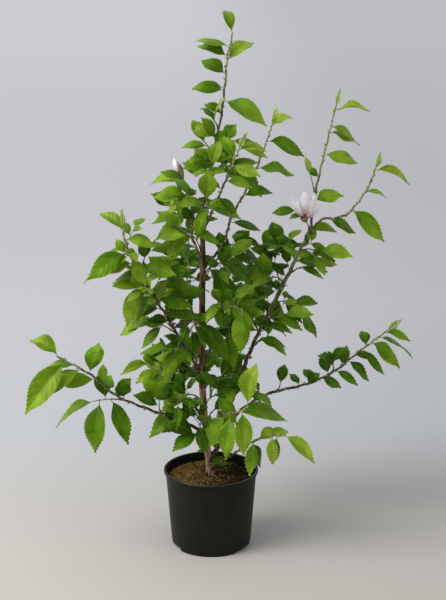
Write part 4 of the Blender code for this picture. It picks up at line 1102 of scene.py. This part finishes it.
def draw_leaf(blade, sheets, tint, ribs, dice, width_gain=WIDTH_GAIN, fold=None):
    """One leaf: a toothed sheet folded along its midrib, quilted between its veins."""
    up = blade.across.cross(blade.heading).normalized()
    bend, arch, twist = [dice.uniform(*span) for span in (LEAF_BEND, LEAF_ARCH, LEAF_TWIST)]
    fold = dice.uniform(*LEAF_FOLD) if fold is None else fold
    recurve = dice.uniform(*LEAF_RECURVE)
    wave = dice.uniform(*LEAF_WAVE) * blade.length
    wave_count = dice.uniform(*WAVE_COUNTS)
    wave_start = dice.uniform(0.0, math.tau)
    lamina = blade.length * (1.0 - PETIOLE_SHARE)
    rows = len(TOOTH_SHAPE) * held(round(lamina / TOOTH_SPACING), *TOOTH_COUNTS)
    corners = []

    def spine(along):
        bow = bend * along ** 2 * blade.across + arch * math.sin(math.pi * min(along, 1.0)) * up
        return blade_spine(blade, along) + bow * blade.length

    for row in range(rows + 1):
        share = row / rows
        half = blade.half_width * width_gain * leaf_width(share)
        centre = spine(PETIOLE_SHARE + (1.0 - PETIOLE_SHARE) * share)
        turn = twist * share
        across = blade.across * math.cos(turn) + up * math.sin(turn)
        above = up * math.cos(turn) - blade.across * math.sin(turn)
        tooth = TOOTH_DEPTH * min(1.0, share / 0.2, blade.half_width / 0.012)
        tooth *= TOOTH_SHAPE[row % len(TOOTH_SHAPE)]
        for column in LEAF_COLUMNS:
            out = abs(column)
            reach = column * half
            lead = 0.0
            if out >= MARGIN:
                reach += math.copysign(tooth * (half > 0.0), column)
                lead = 0.8 * tooth
            phase = math.tau * VEIN_PAIRS * (share - 0.24 * out)
            quilt = VEIN_RELIEF * math.cos(phase) * out * (1.2 - out) * 2.4 * leaf_width(share)
            lift = fold * out * half - recurve * out ** 2 * half
            lift += wave * out ** 2 * math.sin(math.tau * wave_count * share + wave_start)
            lift *= row < rows
            corners.append(centre + across * reach + above * (lift + quilt)
                           + blade.heading * lead)
    bands = {}
    # Painted light and shade across the leaf: bands darken the foot and midrib and pale the tip
    # and margin, and lit_side paints one half lighter and the other darker.
    lit_side = dice.choice((-0.16, 0.0, 0.16))
    for row in range(rows):
        for column in range(len(LEAF_COLUMNS) - 1):
            middle = 0.5 * (LEAF_COLUMNS[column] + LEAF_COLUMNS[column + 1])
            place = (row + 0.5) / rows - 0.20 * abs(middle) + lit_side * middle
            band = tint - 1 + sum(place > limit for limit in BAND_LIMITS)
            band += abs(middle) > MARGIN
            bands.setdefault(band, []).append(grid_face(row, column, len(LEAF_COLUMNS)))
    for band, faces in bands.items():
        sheets[band].add_used(corners, faces)
    shares = [0.95 * step / RIB_STEPS for step in range(RIB_STEPS + 1)]
    radii = [np.interp(share, (0.0, PETIOLE_SHARE, 0.5, 0.95), RIB_RADII).item()
             for share in shares]
    ring_tube(ribs, [spine(share) - up * 0.0001 for share in shares], radii, 4)


def draw_leaves(plant, leaf_nodes):
    """All leaves, a piece for each tint, and their stalks and midribs."""
    dice = random.Random(SEED)
    sheets = [Heap() for _ in TINTS]
    ribs = Heap()
    for leaf in plant.leaves:
        looks = ()
        if leaf.shoot in LIMBS and leaf.share > 0.98 and "back" not in leaf.shoot:
            looks = (SLIM_GAIN if leaf.shoot in SLIM_SHOOTS else YOUNG_GAIN, YOUNG_FOLD)
        draw_leaf(leaf.blade, sheets, leaf.tint, ribs, dice, *looks)
    for tint, heap in enumerate(sheets):
        heap.build(f"leaves_{tint}", f"leaf_{tint}", "foliage", leaf_nodes)
    ribs.build("leaf_ribs", "leaf_rib", "foliage")


def draw_bud(bud, sheet, ribs, dice):
    """A young shoot's tip: narrow leaves still furled round each other."""
    for index, (lean, share) in enumerate(FURLED_LEAVES):
        outwards = outwards_from(bud.heading, index * GOLDEN_ANGLE + 0.6)
        blade = leaning_blade(bud.root + outwards * 0.0006, bud.heading, outwards, lean,
                              bud.length * share, FURLED_HALF_WIDTH)
        draw_leaf(blade, [sheet] * len(TINTS), 1, ribs, dice, 1.0, FURLED_FOLD)


def draw_tepal(blade, heaps, dice):
    """A spoon-shaped tepal whose foot is flushed in uneven streaks."""
    outwards = blade.across.cross(blade.heading).normalized()
    corners = []
    gain = dice.uniform(*TEPAL_GAINS)
    for row in range(TEPAL_ROWS + 1):
        share = row / TEPAL_ROWS
        half = gain * blade.half_width * max(0.0, math.sin(math.pi * share ** 1.35)) ** 0.45
        half = max(half, blade.half_width * 0.28 * (1.0 - share))
        centre = blade.root + blade.heading * (blade.length * share)
        bow = blade.length * (0.10 * math.sin(math.pi * share) - 0.07 * share ** 3)
        for column in range(TEPAL_COLUMNS + 1):
            across = 2.0 * column / TEPAL_COLUMNS - 1.0
            cup = 0.42 * half * (1.0 - across ** 2)
            phase = 9.0 * share + 4.0 * across + blade.length * 900.0
            ripple = 0.0006 * math.sin(phase) * abs(across)
            corners.append(centre + blade.across * (half * across)
                           - outwards * (bow + cup + ripple))
    limits = [0.10 + 0.13 * abs(math.sin(1.3 * column)) + dice.uniform(0.0, 0.09)
              for column in range(TEPAL_COLUMNS)]
    for tone, low, high in PETAL_TONES:
        heaps[tone].add(corners, [grid_face(row, column, TEPAL_COLUMNS + 1)
                                  for row in range(TEPAL_ROWS) for column in range(TEPAL_COLUMNS)
                                  if low <= (row + 0.5) / TEPAL_ROWS / limits[column] < high])


def draw_endings(plant):
    """Furled tips, the flower bud and the blossom."""
    dice = random.Random(SEED + 1)
    furled, ribs, scales = Heap(), Heap(), Heap()
    petals = {tone: Heap() for tone, *_ in PETAL_TONES}
    for ending, bud in plant.endings:
        if ending == "bud":
            draw_bud(bud, furled, ribs, dice)
    for tepal in plant.tepals:
        draw_tepal(tepal, petals, dice)
    for bearing, lean, length in EXTRA_TEPALS:
        draw_tepal(leaning_blade(plant.tepals[0].root, UP, polar(math.radians(bearing)), lean,
                                 length, EXTRA_HALF_WIDTH), petals, dice)
    for ending, bud in plant.endings:
        if ending == "flower bud":
            draw_flower_bud(bud, petals, dice)
            draw_scales(bud, scales, FLOWER_BUD_SCALES, 0.10, dice)
        if ending == "blossom":
            draw_scales(bud, scales, BLOSSOM_SCALES, 0.35, dice)
    furled.build("furled_tips", "furled_leaf", "foliage")
    ribs.build("furled_ribs", "leaf_rib", "foliage")
    scales.build("bud_scales", "bud_scale", "foliage")
    for tone, heap in petals.items():
        heap.build(f"blossom_{tone}", f"tepal_{tone}", "foliage")


def draw_flower_bud(bud, petals, dice):
    """White tepals still closed."""
    for index in range(4):
        outwards = polar(math.tau * index / 4)
        outwards = (outwards - bud.heading * outwards.dot(bud.heading)).normalized()
        root = bud.root + bud.heading * 0.012 + outwards * 0.0016 - Vector((0.0025, 0.0, 0.0))
        length = bud.length * dice.uniform(*CLOSED_SHARES)
        draw_tepal(leaning_blade(root, bud.heading, outwards, 0.02, length, CLOSED_HALF_WIDTH),
                   petals, dice)


def draw_scales(bud, scales, places, lean, dice):
    """Downy brown scales round the foot of a bud, each a bearing and a length."""
    for bearing, length in places:
        outwards = polar(math.radians(bearing + dice.uniform(-12.0, 12.0)))
        root = bud.root - bud.heading * 0.002 + outwards * 0.0012
        draw_tepal(leaning_blade(root, bud.heading, outwards, lean, length, SCALE_HALF_WIDTH),
                   {tone: scales for tone, *_ in PETAL_TONES}, dice)


def wall_radius(height, inwards=0.0):
    """The radius of the pot's outside at a height, less a depth into the wall."""
    share = height / POT_HEIGHT
    body_rim = POT_RIM_RADIUS - RIM_WIDTH
    return POT_FOOT_RADIUS + (body_rim - POT_FOOT_RADIUS) * share - inwards


def draw_pot():
    """The pot: rolled rim, tapering wall with a stepped foot, and three drain notches."""
    rim_foot = POT_HEIGHT - RIM_DEPTH
    inner = wall_radius(POT_HEIGHT, POT_WALL)
    middle = 0.5 * (inner + POT_RIM_RADIUS)
    lip_turns = [math.pi * (1.0 - step / 6.0) for step in range(7)]
    profile = [
        (inner, POT_HEIGHT - 0.0030), (inner, POT_HEIGHT - 0.0012),
        *[(middle + (POT_RIM_RADIUS - middle) * math.cos(turn),
           POT_HEIGHT - 0.0012 + 0.0012 * math.sin(turn)) for turn in lip_turns],
        (POT_RIM_RADIUS, POT_HEIGHT - 0.0030), (POT_RIM_RADIUS, rim_foot + 0.0022),
        (POT_RIM_RADIUS - 0.0005, rim_foot + 0.0008), (POT_RIM_RADIUS - 0.0016, rim_foot),
        (wall_radius(rim_foot) + 0.0006, rim_foot - 0.0004),
        (wall_radius(rim_foot), rim_foot - 0.0020),
        *[(wall_radius(height), height) for height in (0.160, 0.110, 0.060, 0.016, 0.0145)],
        (wall_radius(0.0130, 0.0007), 0.0130), (wall_radius(0.0040, 0.0009), 0.0040),
        (wall_radius(0.0, 0.0015), 0.0010), (wall_radius(0.0, 0.0026), 0.0),
        (NOTCH_INNER_RADIUS - 0.004, 0.0), (NOTCH_INNER_RADIUS - 0.007, 0.0030),
        (0.020, 0.0034), (0.0, 0.0034), (0.0, 0.0050),
        (wall_radius(0.005, POT_WALL), 0.0050), (wall_radius(0.09, POT_WALL), 0.09),
    ]
    shape = bmesh.new()
    line = [shape.verts.new((radius, 0.0, height)) for radius, height in profile]
    edges = [shape.edges.new(ends) for ends in zip(line, line[1:])]
    edges.append(shape.edges.new((line[-1], line[0])))
    bmesh.ops.spin(shape, geom=line + edges, axis=(0, 0, 1), cent=(0, 0, 0), steps=POT_STEPS,
                   angle=math.tau, use_merge=True)
    bmesh.ops.remove_doubles(shape, verts=shape.verts, dist=1e-6)
    bmesh.ops.recalc_face_normals(shape, faces=shape.faces)
    pot = make_piece("pot_shell", mesh_from(shape, "pot_shell"), "pot_plastic",
                     ["pot"])
    cutters = [make_notch(bearing) for bearing in NOTCH_BEARINGS]
    for cutter in cutters:
        cut = pot.modifiers.new("notch", "BOOLEAN")
        cut.object = cutter
        cut.solver = "EXACT"
    bpy.context.view_layer.update()
    graph = bpy.context.evaluated_depsgraph_get()
    mesh = bpy.data.meshes.new_from_object(pot.evaluated_get(graph))
    pot.modifiers.clear()
    pot.data = mesh
    mesh.materials.clear()
    mesh.materials.append(MATERIALS["pot_plastic"])
    for cutter in cutters:
        bpy.data.objects.remove(cutter, do_unlink=True)
    mesh.set_sharp_from_angle(angle=math.radians(32.0))
    draw_teeth()
    # A thin ring round the rim, paler than the pot as a painted highlight.
    lip = Heap()
    middle = POT_RIM_RADIUS - LIP_RADIUS - 0.0003
    circle = [polar(math.tau * step / POT_STEPS, middle, POT_HEIGHT - 0.0009)
              for step in range(POT_STEPS + 1)]
    ring_tube(lip, circle, [LIP_RADIUS] * len(circle), 10)
    lip.build("pot_lip_painted_highlight", "pot_lip_painted_highlight", "pot_plastic")


def mesh_from(shape, name):
    """A mesh with a bmesh's faces, which is freed."""
    mesh = bpy.data.meshes.new(name)
    shape.to_mesh(mesh)
    shape.free()
    return mesh


def draw_teeth():
    """Short stubs of moulded plastic that hang unevenly along the top of each notch."""
    dice = random.Random(SEED + 4)
    teeth = Heap()
    for bearing in NOTCH_BEARINGS:
        for place in TEETH_PLACES:
            turn = math.radians(bearing) + (place + dice.uniform(-0.03, 0.03)) * NOTCH_ARC
            low = dice.uniform(0.0035, 0.0070)
            half = dice.uniform(0.010, 0.018)
            corners = []
            for height, narrowing in ((low, 0.6), (NOTCH_HEIGHT + 0.001, 1.0)):
                outer = wall_radius(height) - 0.0012
                for depth, side in ((0.0, -1), (0.0, 1), (0.0016, 1), (0.0016, -1)):
                    corners.append(polar(turn + side * half * narrowing, outer - depth, height))
            teeth.add(corners, ((0, 3, 2, 1), (4, 5, 6, 7), (0, 1, 5, 4), (1, 2, 6, 5),
                                (2, 3, 7, 6), (3, 0, 4, 7)))
    teeth.build("pot_teeth", "pot_plastic", "pot_plastic")


def make_notch(bearing):
    """A block that cuts a drain notch with an arched top through the pot's lower edge."""
    shape = bmesh.new()
    bmesh.ops.create_cube(shape, size=1.0)
    width = 2.0 * POT_FOOT_RADIUS * math.sin(NOTCH_ARC / 2.0)
    reach = POT_FOOT_RADIUS * 1.1 - NOTCH_INNER_RADIUS
    for vertex in shape.verts:
        vertex.co.x = NOTCH_INNER_RADIUS + (vertex.co.x + 0.5) * reach
        vertex.co.y *= width * (0.82 if vertex.co.z > 0.0 else 1.06)
        vertex.co.z = (vertex.co.z + 0.5) * 2.0 * NOTCH_HEIGHT - NOTCH_HEIGHT
    notch = place_object("notch", mesh_from(shape, "notch"))
    notch.rotation_euler.z = math.radians(bearing)
    return notch


def on_soil(x, y, lift=0.0):
    """The point at a lift over the soil's lumpy top, which is a little lower at the wall."""
    outwards = min(1.0, math.hypot(x, y) / wall_radius(SOIL_TOP, POT_WALL))
    height = SOIL_TOP - SOIL_EDGE_DIP * outwards ** 4
    place = Vector((x, y, 0.0))
    height += 0.0022 * noise.noise(place * 28.0) + 0.0012 * noise.noise(place * 90.0)
    height += 0.0007 * noise.noise(place * 260.0)
    return Vector((x, y, height - 0.0015 + lift))


def scattered(dice, reach):
    """A random place within a reach of the pot's axis."""
    radius = reach * math.sqrt(dice.random())
    turn = dice.uniform(0.0, math.tau)
    return radius * math.cos(turn), radius * math.sin(turn)


def draw_soil():
    """Soil: a lumpy bed, crumbs of bark and peat lying on it, and fibres of moss."""
    dice = random.Random(SEED + 2)
    edge = wall_radius(SOIL_TOP, POT_WALL) - 0.0002
    draw_bed(edge)
    draw_crumbs(edge - 0.003, dice)
    moss = Heap()
    for _ in range(FIBRE_COUNT):
        x, y = scattered(dice, edge - 0.006)
        if dice.random() < 0.42 + 6.0 * x - 5.0 * y:
            continue
        bearing = dice.uniform(0.0, math.tau)
        stride = dice.uniform(*FIBRE_LENGTHS) / FIBRE_STEPS
        line = []
        for step in range(FIBRE_STEPS + 1):
            bearing += dice.uniform(-0.5, 0.5)
            if step:
                x += stride * math.cos(bearing)
                y += stride * math.sin(bearing)
            if math.hypot(x, y) > edge - 0.002:
                break
            line.append(on_soil(x, y, 0.0016 * math.sin(math.pi * step / FIBRE_STEPS) + 0.0006))
        if len(line) > 2:
            ring_tube(moss, line, [FIBRE_RADIUS] * len(line), 3)
    moss.build("soil_moss", "soil_moss", "soil")


def draw_bed(edge):
    """The soil's top in rings, with a skirt down inside the pot and a flat foot."""
    turns = [math.tau * side / SOIL_SIDES for side in range(SOIL_SIDES)]
    corners = [on_soil(0.0, 0.0)]
    for ring in range(1, SOIL_RINGS + 1):
        radius = edge * ring / SOIL_RINGS
        corners += [on_soil(radius * math.cos(turn), radius * math.sin(turn)) for turn in turns]
    low_radius = wall_radius(SOIL_LOW, POT_WALL) - 0.0004
    corners += [polar(turn, low_radius, SOIL_LOW) for turn in turns]
    faces = [(0, 1 + side, 1 + (side + 1) % SOIL_SIDES) for side in range(SOIL_SIDES)]
    for ring in range(SOIL_RINGS):
        foot = 1 + ring * SOIL_SIDES
        for side in range(SOIL_SIDES):
            onward = (side + 1) % SOIL_SIDES
            faces.append((foot + side, foot + SOIL_SIDES + side, foot + SOIL_SIDES + onward,
                          foot + onward))
    faces.append(tuple(range(len(corners) - 1, len(corners) - SOIL_SIDES - 1, -1)))
    bed = Heap()
    bed.add(corners, faces)
    bed.build("soil_bed", "soil_bed", "soil", ["soil"])


def draw_crumbs(reach, dice):
    """Crumbs in three tones, which lie in patches and darken to the right and the front."""
    template = bmesh.new()
    bmesh.ops.create_icosphere(template, subdivisions=1, radius=1.0)
    ball = [vertex.co.copy() for vertex in template.verts]
    ball_faces = [tuple(vertex.index for vertex in face.verts) for face in template.faces]
    template.free()
    crumbs = {tone: Heap() for tone in CRUMB_TONES}
    for _ in range(CRUMB_COUNT):
        x, y = scattered(dice, reach)
        size = dice.uniform(*CRUMB_SIZES) * (1.5 if dice.random() < 0.06 else 1.0)
        stretch = Vector((dice.uniform(0.6, 1.7), dice.uniform(0.6, 1.3), dice.uniform(0.4, 0.9)))
        spin = Quaternion([dice.uniform(-1, 1) for _ in range(3)],
                          dice.uniform(0.0, math.tau)).normalized()
        middle = on_soil(x, y, 0.4 * size)
        shape = [middle + spin @ Vector(corner * (1.0 + dice.uniform(-0.25, 0.25)) * size)
                 * stretch.length * 0.6 for corner in ball]
        place = Vector((x, y, 0.03))
        patch = 0.8 * noise.noise(place * 190.0) + 0.6 * noise.noise(place * 60.0)
        shade = 0.52 + 9.0 * x + 6.0 * max(0.0, -y - 0.02) + patch - dice.random()
        crumbs[CRUMB_TONES[(shade < 0.35) + (shade < -0.10)]].add(shape, ball_faces)
    for tone, heap in crumbs.items():
        heap.build(tone, tone, "soil")


def new_material(name):
    """A material, its node tree and its shader."""
    material = bpy.data.materials.new(name)
    material.use_nodes = True
    return material, material.node_tree, material.node_tree.nodes["Principled BSDF"]


def feed(tree, node, inputs):
    """Give a node's inputs their values, or link them to other nodes' outputs."""
    for name, value in inputs.items():
        if isinstance(value, bpy.types.NodeSocket):
            tree.links.new(value, node.inputs[name])
        else:
            node.inputs[name].default_value = value


def add_node(tree, kind, inputs=None, output=0, **settings):
    """A node with its settings and inputs, of which one output is handed back."""
    node = tree.nodes.new("ShaderNode" + kind)
    for name, value in settings.items():
        setattr(node, name, value)
    feed(tree, node, inputs or {})
    return node.outputs[output]


def ramp_of(tree, factor, stops):
    """A colour that runs through stops, each a position and a tone."""
    ramp = tree.nodes.new("ShaderNodeValToRGB")
    elements = ramp.color_ramp.elements
    for _ in stops[2:]:
        elements.new(0.5)
    for element, (position, tone) in zip(elements, stops):
        element.position = position
        element.color = (*tone, 1.0)
    tree.links.new(factor, ramp.inputs["Fac"])
    return ramp.outputs["Color"]


def patterned(name, colour, other, scale, rough, bump, stretch=(1.0, 1.0, 1.0), bump_scale=8.0,
              spread=(0.35, 0.65), specular=0.5, through=None, back=None, sheen=(1.0, 1.0, 1.0)):
    """A material of two tones in a noise pattern, with roughness and relief from nodes."""
    material, tree, shader = new_material(name)
    place = add_node(tree, "TexCoord", output="Object")
    place = add_node(tree, "Mapping", {"Vector": place, "Scale": stretch})
    pattern = add_node(tree, "TexNoise", {"Vector": place, "Scale": scale, "Detail": 6.0}, "Fac")
    shade = ramp_of(tree, pattern, ((spread[0], colour), (spread[1], other)))
    if back:
        backfacing = add_node(tree, "NewGeometry", output="Backfacing")
        shade = add_node(tree, "Mix", {"Factor": backfacing, "A": shade, "B": (*back, 1.0)},
                         "Result", data_type="RGBA")
    fine = add_node(tree, "TexNoise", {"Vector": place, "Scale": scale * bump_scale,
                                       "Detail": 4.0}, "Fac")
    gloss = add_node(tree, "MapRange", {"Value": fine, "To Min": rough[0], "To Max": rough[1]})
    relief = add_node(tree, "Bump", {"Height": fine, "Strength": bump[0], "Distance": bump[1]})
    feed(tree, shader, {"Base Color": shade, "Roughness": gloss, "Normal": relief,
                        "Specular IOR Level": specular, "Specular Tint": (*sheen, 1.0)})
    if through:
        share, tone = through
        glow = add_node(tree, "BsdfTranslucent", {"Color": (*tone, 1.0)})
        mix = tree.nodes.new("ShaderNodeMixShader")
        feed(tree, mix, {0: share, 1: shader.outputs["BSDF"], 2: glow})
        feed(tree, tree.nodes["Material Output"], {"Surface": mix.outputs["Shader"]})
    return material


def make_materials():
    """The finish of every piece."""
    for tint, colour in enumerate(TINTS):
        glow = (min(1.0, colour[0] * 1.6), min(1.0, colour[1] * 1.5), colour[2] * 0.9)
        back = [0.60 * own + 0.40 * pale for own, pale in zip(colour, (0.28, 0.38, 0.09))]
        tones = [[min(1.0, channel * gain) for channel in colour] for gain in (0.80, 1.20)]
        name = f"leaf_{tint}"
        MATERIALS[name] = patterned(name, *tones, 30.0, (0.30, 0.46), (0.25, 0.0006),
                                    bump_scale=22.0, specular=0.34, through=(0.18, glow),
                                    back=back, sheen=(0.95, 1.0, 0.25))
    for name, (*looks, more) in FINISHES.items():
        MATERIALS[name] = patterned(name, *looks, **more)


def make_floor():
    """A wide pale floor, warm near the pot and cooler farther back, with painted shade darkening
    it towards the right.
    """
    mesh = bpy.data.meshes.new("floor")
    corners = ((-1, -1), (1, -1), (1, 1), (-1, 1))
    mesh.from_pydata([(x * FLOOR_HALF, y * FLOOR_HALF, 0.0) for x, y in corners], [],
                     [(0, 1, 2, 3)])
    material, tree, shader = new_material("floor")
    place = add_node(tree, "TexCoord", output="Object")
    split = tree.nodes.new("ShaderNodeSeparateXYZ")
    feed(tree, split, {"Vector": place})
    near, far = FLOOR_DEPTHS[0], FLOOR_DEPTHS[-1]
    depth = add_node(tree, "MapRange", {"Value": split.outputs["Y"], "From Min": near,
                                        "From Max": far})
    tones = ramp_of(tree, depth, [((at - near) / (far - near), tone)
                                  for at, tone in zip(FLOOR_DEPTHS, FLOOR_TONES)])
    # Painted shade: the floor's colour darkens towards the right, away from the lamps.
    across = add_node(tree, "MapRange", {"Value": split.outputs["X"], "From Min": FLOOR_PAINTED_SHADE_SIDES[0],
                                         "From Max": FLOOR_PAINTED_SHADE_SIDES[1], "To Max": FLOOR_PAINTED_SHADE},
                      interpolation_type="SMOOTHSTEP")
    shade = add_node(tree, "Mix", {"Factor": across, "A": tones, "B": (0.0, 0.0, 0.0, 1.0)},
                     "Result", data_type="RGBA")
    grain = add_node(tree, "TexNoise", {"Vector": place, "Scale": 60.0}, "Fac")
    gloss = add_node(tree, "MapRange", {"Value": grain, "To Min": 0.75, "To Max": 0.92})
    feed(tree, shader, {"Base Color": shade, "Roughness": gloss})
    mesh.materials.append(material)
    floor = place_object("floor", mesh)


def make_lamp(name, kind, power, colour, turn, **settings):
    """A soft lamp with its power, colour and turn."""
    lamp = bpy.data.lights.new(name, kind)
    for setting, value in settings.items():
        setattr(lamp, setting, value)
    lamp.energy = power
    lamp.color = colour
    thing = place_object(name, lamp)
    thing.rotation_euler = turn.to_euler()
    return thing


def make_studio():
    """Floor, lamps, sky light and camera."""
    make_floor()
    make_lamp("key", "SUN", 1.25, (1.0, 0.99, 0.965),
              Vector((-0.66, -0.42, 0.95)).to_track_quat("Z", "Y"), angle=math.radians(30.0))
    place = Vector((-2.4, -0.7, 1.9))
    side = make_lamp("side", "AREA", 46.0, (1.0, 0.99, 0.97),
                     (Vector((0.0, 0.0, 0.6)) - place).to_track_quat("-Z", "Y"),
                     shape="SQUARE", size=1.6)
    side.location = place
    world = bpy.data.worlds.new("sky_light")
    world.use_nodes = True
    feed(world.node_tree, world.node_tree.nodes["Background"],
         {"Color": SKY_COLOUR, "Strength": SKY_STRENGTH})
    scene = bpy.context.scene
    scene.world = world
    scene.view_settings.view_transform = "Standard"
    lens = bpy.data.cameras.new("camera")
    lens.lens = CAMERA_LENS
    lens.sensor_width = 36.0
    scene.camera = place_object("camera", lens)
    scene.camera.location = CAMERA_PLACE
    scene.camera.rotation_euler = (CAMERA_PITCH, 0.0, 0.0)


def main():
    nodes = sorted(frame["nodes"])
    wood_nodes = [name for name in nodes if name.endswith("_bough")]
    leaf_nodes = [name for name in nodes if name.endswith("_foliage") or "_spray_" in name]
    make_materials()
    plant = Plant()
    draw_wood(plant, wood_nodes)
    draw_nubs(plant)
    draw_leaves(plant, leaf_nodes)
    draw_endings(plant)
    draw_pot()
    draw_soil()
    make_studio()


main()
